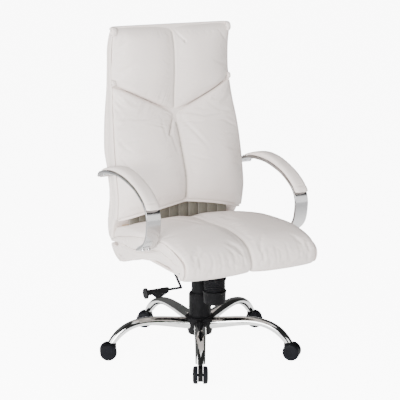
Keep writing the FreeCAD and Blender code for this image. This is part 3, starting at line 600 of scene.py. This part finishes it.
def put_creases(obj, grooves, folds=(), gathers=()):
    """Presses seams and folds into a cover and puffs it up in gathers, and records which points lie in a seam, as
    painted shade that darkens the seams.

    grooves are (path, width, depth, shade), folds (path, width, depth), gathers (path, reach, pitch, depth, seed).
    """
    co, no = coordinates(obj), coordinates(obj, "normal")
    push = np.zeros(len(co))
    painted_shade_mask = np.zeros(len(co))
    for path, width, depth, shade in grooves:
        gap, _ = distance_to(co, path)
        push -= depth * np.exp(-(gap / width) ** 2)
        # painted shade along the groove of each seam
        painted_shade_mask = np.maximum(painted_shade_mask, shade * np.exp(-(gap / (width * 0.42)) ** 2))
    for path, width, depth in folds:
        gap, where = distance_to(co, path)
        ends = np.sin(np.clip(where, 0, 1) * math.pi) ** 0.7
        wave = np.exp(-(gap / width) ** 2) - 0.55 * np.exp(-((gap - 1.9 * width) / (1.1 * width)) ** 2)
        push -= depth * ends * wave
    for path, reach, pitch, depth, seed in gathers:
        gap, where = distance_to(co, path)
        length = np.linalg.norm(np.diff(np.asarray(path), axis=0), axis=1).sum()
        s = where * length
        uneven = 0.35 * np.sin(s / pitch * 2.1 + seed) + 0.3 * np.sin(s / pitch * 0.77 + 2.3 * seed)
        wave = np.sin(2 * math.pi * (s / pitch + uneven) + gap / reach * (1.2 + 0.5 * math.sin(seed)))
        strength = 0.55 + 0.45 * np.sin(s / pitch * 1.3 + 1.7 * seed)
        inside = smoothstep(0.0, 0.08, where) * smoothstep(1.0, 0.9, where)
        decay = np.exp(-(gap / reach) ** 1.6) * smoothstep(0, 0.006, gap)
        push += depth * wave * strength * decay * inside
    move_to(obj, co + no * push[:, None])
    store_painted_shade(obj, painted_shade_mask)


def surface_of(obj):
    return BVHTree.FromPolygons([v.co for v in obj.data.vertices], [p.vertices for p in obj.data.polygons])


def on_surface(obj, path, lift=0.0, direction=(0, 1, 0)):
    """Points of a path dropped on a cover along a direction."""
    tree = surface_of(obj)
    d = Vector(direction).normalized()
    out = []
    for p in path:
        hit, normal, _, _ = tree.ray_cast(Vector(p) - d * 0.3, d)
        if hit is None:
            hit, normal, _, _ = tree.find_nearest(Vector(p))
        out.append(np.array(hit + normal * lift))
    return np.array(out)


def snapped(obj, path, lift=0.0):
    """The nearest places of a cover to a path."""
    tree = surface_of(obj)
    found = (tree.find_nearest(Vector(p))[:2] for p in path)
    return np.array([np.array(hit + normal * lift) for hit, normal in found])


def in_front(obj, *points):
    """A smooth line through (x, height) points in millimetres, dropped on a cover from the front."""
    return on_surface(obj, smooth_line([(x, 0, z) for x, z in points], 30) * MM)


def at_x(x, line):
    """A line of (y, height) points in millimetres at one x, in metres."""
    return np.column_stack([np.full(len(line), float(x)), line]) * MM


def stitches(name, path):
    """Short raised threads along a path on a cover."""
    length, pitch, radius, corners = 0.0026, 0.0042, 0.00055, 6
    stations = ((0.0, 0.35), (0.22, 1.0), (0.78, 1.0), (1.0, 0.35))
    path = np.asarray(path)
    along = np.concatenate([[0], np.cumsum(np.linalg.norm(np.diff(path, axis=0), axis=1))])
    verts, faces = [], []
    for i in range(int(along[-1] / pitch)):
        first, last = (np.array([np.interp(s, along, path[:, k]) for k in range(3)])
                       for s in (i * pitch, i * pitch + length))
        axis = last - first
        axis /= max(np.linalg.norm(axis), 1e-9)
        side = np.cross(axis, (0.3, 0.5, 0.8))
        side /= np.linalg.norm(side)
        other = np.cross(axis, side)
        base = len(verts)
        for t, r in stations:
            for k in range(corners):
                a = math.pi * k / 3
                verts.append(first + (last - first) * t + radius * r * (math.cos(a) * side + math.sin(a) * other))
        for ring in range(len(stations) - 1):
            for k in range(corners):
                here, after = base + ring * corners + k, base + ring * corners + (k + 1) % corners
                faces.append((here, after, after + corners, here + corners))
        faces.append(tuple(base + k for k in reversed(range(corners))))
        faces.append(tuple(base + 18 + k for k in range(corners)))
    return new_object(name, verts, faces, THREAD)


def seat_piece(obj, *nodes, fill=None, slot="white_leather"):
    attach(obj, "seat")
    if nodes:
        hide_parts(*nodes)


def front_cushion(name, top_line, top_edge, low_edge, depth, rolls, free_from, cap, growth):
    """A front cushion of the back, its skin blown out between the seams that hold it.

    free_from gives the distances over which it comes free of the centre seam, the lower and the upper edge.
    """
    obj = ring_mesh(name, cushion_rings(top_line, low_edge, depth, *rolls), LEATHER)
    remesh(obj, CUSHION_VOXEL)
    co = coordinates(obj)
    z = co[:, 2] / MM
    u = np.clip(co[:, 0] / MM / half_x(z), -1, 1)
    centre = smoothstep(*free_from[0], np.abs(co[:, 0]) / MM)
    low = smoothstep(*free_from[1], z - low_edge(u))
    top = smoothstep(*free_from[2], top_edge(u) - z)
    sides = smoothstep(1.0, 0.93, np.abs(u))
    front = smoothstep(side_y(z) * MM + 0.002, side_y(z) * MM - 0.01, co[:, 1])
    inflate(obj, centre * low * top * sides * front, cap, growth)
    subdivide(obj)
    return obj


def centre_seam(obj, high, low, count):
    z = np.linspace(high, low, count)
    return on_surface(obj, np.stack([0 * z, 0 * z, z], 1) * MM)


def make_head():
    obj = front_cushion("head_cushion_cover", lambda u: 1139 - 2 * np.abs(u) ** 3, lambda u: 1139, v_seam, 17,
                        ((26, 16), (20, 15)), ((4, 26), (2, 26), (2, 30)), 0.007, 0.012)
    seam = centre_seam(obj, 1141, 836, 80)
    u = np.linspace(-1, 1, 90)
    lower = on_surface(obj, np.stack([u * half_x(v_seam(u)), 0 * u, v_seam(u) + 3], 1) * MM)
    put_creases(obj, [(seam, 0.0042, 0.0048, 0.75)], gathers=[(lower[20:44], 0.05, 0.017, 0.0011, 1.3)])
    seat_piece(obj, "head_cushion", fill=0.75)
    seat_piece(stitches("head_topstitch", on_surface(obj, seam + np.array([0.0075, 0, 0]), THREAD_LIFT)))


def make_lumbar():
    obj = front_cushion("lumbar_cushion_cover", lambda u: v_seam(u) - 1.5, v_seam, arch, LUMBAR_DEPTH, LUMBAR_ROLLS,
                        ((4, 28), (4, 34), (2, 26)), 0.008, 0.014)
    seam = centre_seam(obj, 829, 530, 90)
    u = np.linspace(-0.97, 0.97, 90)
    upper = on_surface(obj, np.stack([u * half_x(v_seam(u)), 0 * u, v_seam(u) - 5], 1) * MM)
    folds = [(in_front(obj, (14, 815), (40, 780), (75, 735), (100, 700)), 0.007, 0.0018),
             (in_front(obj, (-28, 806), (-34, 770), (-31, 730), (-22, 690)), 0.006, 0.0014),
             (in_front(obj, (-62, 818), (-66, 786), (-60, 748)), 0.006, 0.0012)]
    for z in (905, 868, 760, 700, 660):
        folds.append((in_front(obj, (-236, z), (-215, z - 32), (-190, z - 52)), 0.006, 0.0010))
    put_creases(obj, [(seam, 0.0058, 0.0085, 0.85)], folds,
                [(upper[16:45], 0.075, 0.021, 0.0016, 0.4), (upper[46:60], 0.03, 0.019, 0.0007, 2.0)])
    seat_piece(obj, "lumbar_cushion", fill=0.7)
    seat_piece(stitches("lumbar_topstitch", on_surface(obj, seam + THREAD_OFFSET, THREAD_LIFT)))
    return obj


def make_hem(lumbar):
    """The folded hem along the arched lower edge, with its line of stitching."""
    u = np.linspace(-0.985, 0.985, 120)
    z = arch(u)
    x = u * half_x(z)
    y = np.array([back_front(a, b, 200, 0.0, LUMBAR_DEPTH, *LUMBAR_ROLLS) for a, b in zip(u, z)]) + 3
    path = np.stack([x, y, z - 2], 1) * MM
    narrowed = 0.35 + 0.65 * smoothstep(1.0, 0.9, np.abs(u))
    hem = tube("lumbar_hem", path, 0.0052 * narrowed, LEATHER, 12, flat=0.5)
    put_creases(hem, [], gathers=[(path, 0.02, 0.03, 0.0006, 0.9)])
    seat_piece(hem)
    above = np.stack([x, y - 8, z + 9], 1) * MM
    seat_piece(stitches("hem_topstitch", on_surface(lumbar, above, THREAD_LIFT)))


# ------------ sides and rear of the back
def boxing_y(z):
    """Front edge of the sides of the back, which runs rearward below the cushions."""
    return np.interp(z, [380, 400, 430, 470], [205, 205, 196, 168]) if z < 470 else side_y(z)


def make_back_cover():
    """Boxing, rear roll and rear panel, one closed form from the rounded lower ends to the top."""
    rings = []
    heights = np.concatenate([np.linspace(379.5, 386, 6), np.linspace(392, 1120, 120), np.linspace(1124, 1140, 8)])
    for z in heights:
        w = float(half_x(z)) - 1
        seam = boxing_y(z)
        roll = seam + (roll_y(z) - seam) * (0.55 + 0.45 * smoothstep(379, 396, z))
        rear = min(rear_y(z), roll + 18)
        split = seam + (roll - seam) * 0.50
        inner = seam + 2
        half = [(w - 6, inner), (w - 1, seam + 1.5), (w + 2.8, seam + (split - seam) * 0.35),
                (w + 3.0, seam + (split - seam) * 0.7), (w + 0.6, split), (w + 3.6, split + (roll - split) * 0.3),
                (w + 4.2, split + (roll - split) * 0.6), (w + 1.5, roll - 4), (w - 5, roll + 2),
                (w - 14, roll + 5.5),
                (w - 22, roll + 5.5), (w - 30, roll + 7.5), (w - 60, roll + (rear - roll) * 0.62),
                (w - 110, roll + (rear - roll) * 0.86), (w - 170, roll + (rear - roll) * 0.97), (6, rear + 0.4),
                (0, rear - 1.0)]
        # the wall behind the lining stands further back than the cushions' seam
        deep = max(inner, 173 - 13 * float(smoothstep(563, 572, z)))
        front = [(0, deep), (w * 0.4, deep), (w * 0.785, deep), (w * 0.80, inner)]
        right = smooth_line(half, 56)
        left = right[::-1][1:] * np.array([-1, 1])
        ring = np.concatenate([np.array(front), right, left, np.array(front[:0:-1]) * np.array([-1, 1])])
        rings.append(np.column_stack([ring, np.full(len(ring), z)]))
    rings = np.array(rings) * MM
    top = rings[-1]
    for shrink, rise in ((0.97, 0.6), (0.88, 1.0)):
        cap = top.copy()
        cap[:, 1] = top[:, 1].mean() + (cap[:, 1] - top[:, 1].mean()) * shrink
        cap[:, 2] += rise * MM
        rings = np.concatenate([rings, cap[None]])
    obj = ring_mesh("back_shell_cover", rings, LEATHER)
    subdivide(obj)
    zs = np.linspace(400, 1128, 150)
    seam = np.array([boxing_y(z) for z in zs])
    split = seam + (roll_y(zs) - seam) * 0.50
    split_lines = [np.stack([side * (half_x(zs) - 0.4), split, zs], 1) * MM for side in (-1, 1)]
    roll_lines = [np.stack([side * (half_x(zs) - 22), roll_y(zs) + 5.5, zs], 1) * MM for side in (-1, 1)]
    middle = np.stack([0 * zs, rear_y(zs), zs], 1) * MM
    grooves = [(line, 0.0024, 0.0022, 0.6) for line in split_lines]
    grooves += [(line, 0.0024, 0.0020, 0.55) for line in roll_lines]
    grooves += [(middle, 0.0026, 0.0022, 0.55)]
    slit = smooth_line([(254, 196, 585), (254, 203, 560), (254, 200, 530), (253, 196, 500)], 20) * MM
    folds = [(slit * side, 0.004, 0.0022) for side in BOTH_SIDES]
    gathers = [(line[:60], 0.02, 0.026, 0.0008, 0.7 + k) for k, line in enumerate(split_lines)]
    put_creases(obj, grooves, folds, gathers)
    seat_piece(obj, "rear_pad", "back_core_pad", fill=0.8)
    # welt between the front cushions and the sides
    z = np.linspace(476, 1108, 130)
    paths = [np.stack([side * (half_x(z) + 0.6), side_y(z) + 0.5, z], 1) * MM for side in (-1, 1)]
    seat_piece(joined("back_side_welts", [tube("welt", path, 0.0022, LEATHER, 8) for path in paths]))
    parts = []
    for line in split_lines:
        inward = (-1, 0, 0) if line[0, 0] > 0 else (1, 0, 0)
        parts.append(stitches("thread", on_surface(obj, line + np.array([0, 0.0065, 0]), THREAD_LIFT, inward)))
    rear_line = on_surface(obj, middle + np.array([0.008, 0, 0]), THREAD_LIFT, (0, -1, 0))
    parts.append(stitches("thread", rear_line))
    seat_piece(joined("back_topstitch", parts))


def scroll(x, y, z, outer, inner, turns, thick, wide, start):
    """The rolled end of a cushion's edge: a strip of leather curled on itself, seen from the side."""
    a = start + np.linspace(0, 2 * math.pi * turns, 60)
    radius = np.linspace(outer, inner, 60)
    path = np.stack([0 * a, np.cos(a) * radius, np.sin(a) * radius], 1) + np.array([0, y, z])
    across = np.array([1.0, 0, 0])
    rings = []
    for p, d in zip(path, directions(path)):
        n = np.cross(across, d)
        ring = []
        for k in range(16):
            t = 2 * math.pi * k / 16
            cx = math.copysign(abs(math.cos(t)) ** 0.6, math.cos(t)) * wide / 2
            cn = math.copysign(abs(math.sin(t)) ** 0.8, math.sin(t)) * thick / 2
            ring.append(p + across * (x + cx) + n * cn)
        rings.append(ring)
    return ring_mesh("scroll", np.array(rings) * MM, LEATHER)


def make_scrolls():
    parts = []
    for side in (-1, 1):
        parts.append(scroll(side * 224, 219, 1121, 17.5, 5, 1.35, 6.5, 17, math.radians(35)))
        parts.append(scroll(side * 228, 217, 944, 10.5, 3, 1.3, 5.5, 13, math.radians(80)))
    seat_piece(joined("rolled_seam_ends", parts))


# ------------ lining behind the gap
def make_lining():
    lo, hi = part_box("lining_panel")
    lo, hi = np.array(lo) / MM, np.array(hi) / MM
    pitch = (hi[0] - lo[0]) / 10
    xs = np.linspace(lo[0], hi[0], 241)
    rings = []
    for z in np.linspace(lo[2], hi[2], 26):
        edge = min(z - lo[2], hi[2] - z)
        phase = (xs - lo[0]) / pitch % 1
        rise = np.abs(np.sin(math.pi * phase)) ** 0.55
        front = lo[1] + 6.5 - 6.3 * rise + rolled(edge, 7, 4)
        front += 0.5 * np.sin(xs * 0.05 + z * 0.045) * rise
        back = [(x, hi[1], z) for x in (hi[0], 0, lo[0])]
        rings.append(np.concatenate([np.stack([xs, front, 0 * xs + z], 1), back]))
    obj = ring_mesh("lining_channels", np.array(rings) * MM, LINING)
    co = coordinates(obj)
    phase = (co[:, 0] / MM - lo[0]) / pitch
    gap = np.abs(phase - np.round(phase)) * pitch
    # painted shade in the grooves between the channels
    store_painted_shade(obj, 0.9 * np.exp(-(gap / 1.4) ** 2))
    seat_piece(obj, "lining_panel", fill=0.5)


# ------------ seat
# stations from the rear over the crest to the underside of the front: (y, height)
SEAT_CENTRE = [(152, 448), (116, 460), (77, 473), (39, 481), (-15, 484), (-69, 485), (-120, 488), (-168, 491),
               (-215, 490), (-263, 485), (-300, 478), (-326, 468), (-345, 456), (-357, 442), (-366, 428),
               (-371, 412), (-369, 396), (-360, 383), (-342, 377), (-325, 378)]
SEAT_RIDGE = [(186, 438), (130, 452), (74, 461), (35, 468), (-18, 476), (-70, 483), (-125, 486), (-180, 487),
              (-232, 485), (-282, 479), (-318, 472), (-342, 464), (-358, 453), (-369, 440), (-374, 427),
              (-373, 411), (-369, 396), (-361, 384), (-344, 375), (-325, 376)]
SEAT_WELT = [(204, 394), (160, 408), (108, 418), (60, 431), (0, 444), (-55, 453), (-108, 461), (-162, 468),
             (-212, 472), (-262, 467), (-298, 460), (-322, 452), (-341, 446), (-355, 438), (-364, 427),
             (-366, 412), (-362, 398), (-355, 388), (-341, 381), (-322, 381)]


def seat_lines(count):
    """The three lines at matching stations, so that one share of the run is one place on all of them."""
    share = np.linspace(0, 1, len(SEAT_CENTRE))
    fine = np.linspace(0, 1, count)
    lines = []
    for line in (SEAT_CENTRE, SEAT_RIDGE, SEAT_WELT):
        with_share = smooth_line([(y, z, 900 * s) for (y, z), s in zip(line, share)], 600)
        lines.append(np.stack([np.interp(fine, with_share[:, 2] / 900, with_share[:, k]) for k in (0, 1)], 1))
    return lines


def seat_half_width(y):
    """Half width of the cushion's top along the seat: a little narrower at the front and where the back begins."""
    return np.interp(y, [-375, -340, -280, -180, 0, 120, 200], [243, 245, 248, 250, 248, 243, 238])


def make_seat():
    centre, ridge, welt = seat_lines(96)
    outward = directions(centre)[:, ::-1] * np.array([1, -1])
    rings = []
    for i in range(len(centre)):
        w = float(seat_half_width(centre[i, 0]))
        puff = np.interp(i / 95, [0, 0.1, 0.3, 0.6, 0.85, 1], [1, 3, 8, 9, 8, 3])
        side = []
        for share in (0, 0.03, 0.07, 0.13, 0.22, 0.34, 0.48, 0.62, 0.75, 0.86, 0.94):
            base = centre[i] * (1 - share ** 1.5) + ridge[i] * share ** 1.5
            rise = puff * (1 - (1 - min(share / 0.4, 1)) ** 2.2) * (1 - 0.8 * max(0, (share - 0.5) / 0.5) ** 2)
            p = base + outward[i] * rise
            side.append((share * (w - 8), p[0], p[1]))
        for k in (0.0, 0.2, 0.4, 0.6, 0.8, 0.92, 1.0):
            a = k * math.pi / 2
            p = ridge[i] + (welt[i] - ridge[i]) * (1 - math.cos(a))
            side.append((w - 8 + 10.5 * math.sin(a) - 2.2 * smoothstep(0.8, 1.0, k), p[0], p[1]))
        depth = 26 + 6 * math.sin(math.pi * i / 95)
        under = centre[i] - outward[i] * depth
        inner = welt[i] - outward[i] * 4
        if i > 70:
            under = centre[i] + (np.array([-322, 400]) - centre[i]) * 0.5
            inner = welt[i] + (np.array([-322, 405]) - welt[i]) * 0.3
        side += [(w - 12, *inner), (w * 0.8, *(inner * 0.4 + under * 0.6)), (w * 0.4, *under), (0, *under)]
        side = np.array(side)
        rings.append(np.concatenate([side, side[::-1][1:-1] * BOTH_SIDES[1]]))
    obj = ring_mesh("seat_cushion_cover", np.array(rings) * MM, LEATHER)
    remesh(obj, SEAT_VOXEL)
    co = coordinates(obj)
    middle = at_x(0, centre)
    edge_r = np.column_stack([seat_half_width(centre[:, 0]), welt]) * MM
    edge_l = edge_r * BOTH_SIDES[1]
    near_edge = np.minimum(distance_to(co, edge_r)[0], distance_to(co, edge_l)[0])
    free = smoothstep(0.004, 0.03, distance_to(co, middle)[0]) * smoothstep(0.004, 0.03, near_edge)
    free = free * smoothstep(0.380, 0.395, co[:, 2]) * surface_side(co, centre, outward)
    inflate(obj, free * smoothstep(0.150, 0.110, co[:, 1]), 0.006, 0.012)
    subdivide(obj)
    seam = snapped(obj, middle[8:-2])
    front = [snapped(obj, np.array([(x, -352, 466), (x + 2, -368, 440), (x + 1, -374, 420), (x, -372, 398)]) * MM)
             for x in (-196, -150, -118, -70, -34, 40, 88, 132, 176, 214)]
    top = [snapped(obj, smooth_line(p, 24) * MM) for p in (
        [(-40, -40, 490), (-30, -90, 492), (-24, -140, 494)], [(-90, -20, 488), (-72, -80, 492), (-60, -150, 495)],
        [(70, -30, 490), (60, -90, 494), (66, -140, 495)], [(-150, 60, 474), (-110, 20, 482), (-86, -30, 488)],
        [(120, 40, 478), (96, 0, 484), (84, -50, 490)])]
    corner_l = edge_l[58:80] + np.array([0.004, 0, 0])
    corner_r = edge_r[58:80] - np.array([0.004, 0, 0])
    put_creases(obj, [(seam, 0.0062, 0.0075, 0.7)],
                folds=[*[(f, 0.005, 0.0009) for f in front], *[(t, 0.011, 0.0013) for t in top]],
                gathers=[(corner_l, 0.035, 0.012, 0.0012, 0.5), (corner_r, 0.035, 0.012, 0.0011, 1.9),
                         (edge_l[12:58], 0.022, 0.02, 0.0007, 2.4), (edge_r[12:58], 0.022, 0.02, 0.0007, 0.2)])
    seat_piece(obj, "seat_cushion", fill=0.75)
    seat_piece(stitches("seat_topstitch", snapped(obj, middle[10:-3] + THREAD_OFFSET, THREAD_LIFT)))


def surface_side(co, line, outward):
    """1 on the outer side of the cushion's own thickness, 0 on its hidden underside."""
    flat = co[:, 1:] / MM
    nearest = ((flat[:, None, :] - line[None, :, :]) ** 2).sum(2).argmin(1)
    depth = ((flat - line[nearest]) * outward[nearest]).sum(1)
    return smoothstep(-20, -12, depth)


SECOND_WELT = [(188, 384), (150, 391), (114, 393), (57, 393), (6, 396), (-30, 401), (-74, 411), (-120, 425),
               (-174, 438), (-212, 436), (-254, 430), (-290, 424), (-318, 420), (-336, 413), (-346, 402),
               (-347, 392), (-338, 384)]
ROLL_BOTTOM = [(150, 379), (101, 368), (67, 362), (30, 362), (-4, 366), (-41, 373), (-77, 379), (-112, 388),
               (-146, 394), (-203, 396), (-238, 397), (-262, 393), (-283, 387), (-305, 379), (-322, 374),
               (-332, 375), (-335, 380)]


def side_strip(name, top, low, out_top, out_low, bulge, inner):
    """A padded strip down both sides of the seat, between two lines of (y, height)."""
    count = 110
    a, b = smooth_line(top, count), smooth_line(low, count)
    rings = []
    for i in range(count):
        ring = [(out_top - 3, *a[i])]
        for t in (0.04, 0.12, 0.25, 0.4, 0.55, 0.7, 0.84, 0.94):
            x = out_top + (out_low - out_top) * t + bulge * (1 - abs(2 * t - 1) ** 2.6)
            ring.append((x, *(a[i] + (b[i] - a[i]) * t)))
        ring += [(out_low - 3, *b[i]), (inner, *(b[i] + (a[i] - b[i]) * 0.2)), (inner, *(a[i] + (b[i] - a[i]) * 0.2))]
        rings.append(ring)
    rings = np.array(rings) * MM
    parts = [ring_mesh("side", rings * side, LEATHER) for side in BOTH_SIDES]
    for part in parts:
        subdivide(part)
    obj = joined(name, parts)
    fix_normals(obj)
    return obj, a, b


def make_seat_sides():
    strip, a, b = side_strip("seat_side_boxing", SEAT_WELT[:-1], SECOND_WELT, 249, 247, 4.2, 214)
    line_a, line_b = at_x(252, a), at_x(250, b)
    middle = (line_a + line_b) / 2
    gathers = []
    for side in BOTH_SIDES:
        gathers.append((line_a[2:50] * side, 0.02, 0.015, 0.0014, 0.9))
        gathers.append((middle[4:40] * side, 0.03, 0.027, 0.0018, 1.7))
        gathers.append((middle[76:105] * side, 0.03, 0.016, 0.0013, 2.6))
    seams = [(line * side, 0.0026, 0.0022, 0.95) for line in (line_a, line_b) for side in BOTH_SIDES]
    put_creases(strip, seams, gathers=gathers)
    seat_piece(strip, "seat_core_pad", fill=0.7)

    low_top = [(y, z - 1.5) for y, z in SECOND_WELT[1:]]
    roll, c, d = side_strip("seat_shell_roll", low_top, ROLL_BOTTOM, 246, 238, 5.5, 196)
    line_c, low_line = at_x(249, c), at_x(247.5, c + (d - c) * 0.62)
    grooves = [(low_line * side, 0.0024, 0.0020, 0.9) for side in BOTH_SIDES]
    grooves += [(line_c * side, 0.0026, 0.0012, 0.95) for side in BOTH_SIDES]
    gathers = [(line_c[10:60] * side, 0.022, 0.022, 0.0007, 1.1) for side in BOTH_SIDES]
    put_creases(roll, grooves, gathers=gathers)
    seat_piece(roll, fill=0.8)

    # welts along both seams of the side, and the row of stitches under the upper one
    parts = []
    for line, x in ((SEAT_WELT[1:-1], 250.2), (SECOND_WELT[1:-1], 247.6)):
        for side in BOTH_SIDES:
            parts.append(tube("welt", at_x(x, smooth_line(line, 130)) * side, 0.0023, LEATHER, 8))
    seat_piece(joined("seat_welts", parts))
    path = at_x(254, smooth_line([(y, z - 6.5) for y, z in SEAT_WELT[2:-5]], 120))
    parts = [stitches("thread", snapped(strip, path * side, THREAD_LIFT)) for side in BOTH_SIDES]
    seat_piece(joined("seat_side_topstitch", parts))

    # small steel stud where the strips end under the front corner
    profile = [(0.0001, 2.0), (1.5, 1.8), (2.6, 1.0), (3.0, 0.0), (3.0, -1.5), (0.0001, -1.5)]
    t = np.linspace(0, 2 * math.pi, 20, endpoint=False)
    rings = np.array([at_x(250.5 + h, np.stack([-333 + r * np.cos(t), 401 + r * np.sin(t)], 1)) for r, h in profile])
    studs = [ring_mesh("stud", rings * side, FINISHES["steel"]) for side in BOTH_SIDES]
    seat_piece(joined("corner_studs", studs), slot="steel")


UNDER_MIDDLE = [(221, 376), (230, 371), (231, 362), (222, 348), (200, 333), (165, 325), (141, 329), (122, 345),
                (108, 364), (98, 380), (88, 383.6), (60, 383.6)]
UNDER_SIDE = [(221, 375), (231, 371), (230, 359), (212, 341), (186, 325), (163, 318), (140, 320), (105, 331),
              (60, 345), (14, 358), (-18, 370), (-40, 383.6)]
UNDER_INSIDE = [(-332, 391.5), (-200, 392), (-60, 392), (60, 392), (128, 391), (150, 388), (166, 380), (180, 370),
                (197, 367), (209, 371)]


def make_under_cover():
    """Leather under the seat and round its rear corner: an upturned edge behind the seat's side layers."""
    rings = []
    for x in np.linspace(-241, 241, 67):
        share = float(smoothstep(188, 216, abs(x)))
        outer = smooth_line(UNDER_MIDDLE, 60) * (1 - share) + smooth_line(UNDER_SIDE, 60) * share
        front = np.array([(y, 383.6) for y in np.linspace(outer[-1, 0] - 20, -325, 18)] + [(-331, 385.5)])
        rings.append(at_x(x, np.concatenate([outer, front, smooth_line(UNDER_INSIDE, 44)])))
    obj = ring_mesh("seat_under_cover", rings, LEATHER)
    remesh(obj, UNDER_VOXEL)
    soften(obj, 4)
    subdivide(obj)
    welts, folds = [], []
    for side in (1, -1):
        line = smooth_line([(216, 366), (205, 350), (186, 337), (163, 330), (138, 333), (112, 341)], 60)
        welts.append(snapped(obj, at_x(side * 244, line)))
        fold = [(side * 244, 166, 346), (side * 244, 152, 341), (side * 243, 138, 344)]
        folds.append(snapped(obj, smooth_line(fold, 16) * MM))
    rear = snapped(obj, np.array([(x, 226, 352) for x in np.linspace(-232, 232, 90)]) * MM)
    put_creases(obj, [(w, 0.0026, 0.0028, 0.6) for w in welts] + [(f, 0.003, 0.004, 0.9) for f in folds],
                gathers=[(rear, 0.03, 0.05, 0.0009, 0.6)])
    seat_piece(obj, "under_pad", fill=0.6)


# ------------ arm pads
PAD_FOOT = [(153, 655), (124, 661), (82, 667), (25, 668.5), (-30, 665), (-75, 657), (-120, 645), (-161, 626),
            (-190, 607), (-206, 590)]
PAD_TOP = [(155, 661), (124, 671.5), (82, 682.5), (25, 690), (-43, 685), (-105, 668.5), (-158, 647),
           (-200, 621), (-220, 601), (-225, 590)]


def make_arm_pad(side):
    node = "arm_pad_left" if side > 0 else "arm_pad_right"
    lo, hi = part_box(node)
    middle = (lo.x + hi.x) / 2 / MM
    half = (hi.x - lo.x) / 2 / MM + 0.8
    foot, top = smooth_line(PAD_FOOT, 120), smooth_line(PAD_TOP, 120)
    rings = []
    for i in range(120):
        t = i / 119
        end = min(1.0, math.sqrt(max(0.0, 1 - max(0, (0.05 - t) / 0.05) ** 2)) + 0.02)
        cuff = 0.9 * float(smoothstep(0.938, 0.945, t)) - 1.3 * math.exp(-((t - 0.932) / 0.006) ** 2)
        close = 1 - 0.28 * float(smoothstep(0.985, 1.0, t)) ** 2
        up = top[i] - foot[i]
        height = np.linalg.norm(up) * end * close + cuff
        up = up / np.linalg.norm(up)
        ring = []
        for k in range(40):
            a = 2 * math.pi * k / 40
            c, s = math.cos(a), math.sin(a)
            wide = (half * (0.55 + 0.45 * end) + cuff * 0.5) * math.copysign(abs(c) ** 0.62, c)
            if s >= 0:
                rise = 0.42 + 0.58 * s ** 0.85 * (1 - 0.10 * abs(c) ** 2)
            else:
                rise = 0.42 - 0.40 * abs(s) ** 0.5
            p = foot[i] + up * height * rise
            ring.append((middle + wide, p[0], p[1]))
        rings.append(ring)
    obj = ring_mesh(node + "_cover", np.array(rings) * MM, LEATHER)
    subdivide(obj)
    edges = [at_x(middle + s * (half + 0.5), foot + (top - foot) * 0.30)[4:112] for s in (-1, 1)]
    cuff_at = foot[111] + (top[111] - foot[111]) * 1.02
    cuff_line = np.array([(middle + x, *cuff_at) for x in np.linspace(-half, half, 20)]) * MM
    put_creases(obj, [(e, 0.0016, 0.0012, 0.5) for e in edges] + [(cuff_line, 0.0016, 0.0008, 0.8)],
                gathers=[(edges[0][10:96], 0.014, 0.021, 0.0004, 0.4), (edges[1][10:96], 0.014, 0.023, 0.0004, 1.4)])
    seat_piece(obj, node, fill=0.85)
    below = foot[108] + (top[108] - foot[108]) * 1.02
    across = [np.array([middle + x, *below]) * MM for x in np.linspace(-half + 3, half - 3, 30)]
    seat_piece(stitches(node + "_topstitch", snapped(obj, across, THREAD_LIFT)))


# ------------ tension spring
def make_spring():
    """The heavy coil under the mechanism, its end turns lying flat at both seats."""
    lo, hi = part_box("tension_spring")
    lo, hi = np.array(lo), np.array(hi)
    wire, turns = 0.0032, 6.1
    middle = (lo + hi) / 2
    mean = (hi[0] - lo[0]) / 2 - wire
    t = np.linspace(0, 1, 420)
    z = lo[2] + wire + (hi[2] - lo[2] - 2 * wire) * np.clip((t - 0.08) / 0.84, 0, 1)
    a = 2 * math.pi * turns * t
    path = np.stack([middle[0] + mean * np.cos(a), middle[1] + mean * np.sin(a), z], 1)
    spring = tube("tension_coil", path, wire, FINISHES["black_steel"], 14)
    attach(spring, "lift")
    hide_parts("tension_spring")
    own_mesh(spring)


# ------------ floor
def make_floor():
    """White studio floor: it glows to the eye and in reflections, and lights the chair only softly."""
    verts = [(x * FLOOR_HALF, y * FLOOR_HALF, 0) for x, y in ((-1, -1), (1, -1), (1, 1), (-1, 1))]
    mesh = bpy.data.meshes.new("floor")
    mesh.from_pydata(verts, [], [(0, 1, 2, 3)])
    floor = bpy.data.objects.new("floor", mesh)
    scene.collection.objects.link(floor)
    s = Shader("floor", FLOOR_COLOUR, 0.6)
    path = s.node("LightPath")
    s.bsdf.inputs["Emission Color"].default_value = (1, 1, 1, 1)
    seen = s.math("MULTIPLY", path.outputs["Is Camera Ray"], FLOOR_GLOW - FLOOR_BOUNCE)
    # in reflections the lit sheet ends a little beyond the chair
    reach = s.node("VectorMath", operation="LENGTH")
    s.link(s.node("NewGeometry").outputs["Position"], reach.inputs[0])
    sheet = s.ramp(s.math("MULTIPLY", reach.outputs["Value"], 0.25), [(0.17, 1.0), (0.42, 0.06)])
    shine = s.math("MULTIPLY", path.outputs["Is Glossy Ray"], FLOOR_SHINE - FLOOR_BOUNCE)
    shine = s.math("MULTIPLY", shine, sheet)
    s.set("Emission Strength", s.math("ADD", s.math("ADD", seen, shine), FLOOR_BOUNCE))
    mesh.materials.append(s.material)


make_camera()
make_world()
softbox("key", (-3.5, -2.9, 1.7), (0, 0, 0.7), 3.0, 2.6, KEY_WATTS)
softbox("side", (-3.6, 0.5, 1.4), (0, 0, 0.7), 1.4, 2.2, SIDE_WATTS)
softbox("top", (0.2, -0.9, 3.6), (0, 0, 0.5), 2.4, 2.0, TOP_WATTS)
softbox("fill", (2.2, -3.8, 1.2), (0, 0, 0.6), 2.6, 2.2, FILL_WATTS)
finish_cad_nodes()
make_head()
make_hem(make_lumbar())
make_back_cover()
make_scrolls()
make_lining()
make_seat()
make_seat_sides()
make_under_cover()
make_arm_pad(1)
make_arm_pad(-1)
make_spring()
make_floor()
bpy.context.view_layer.update()
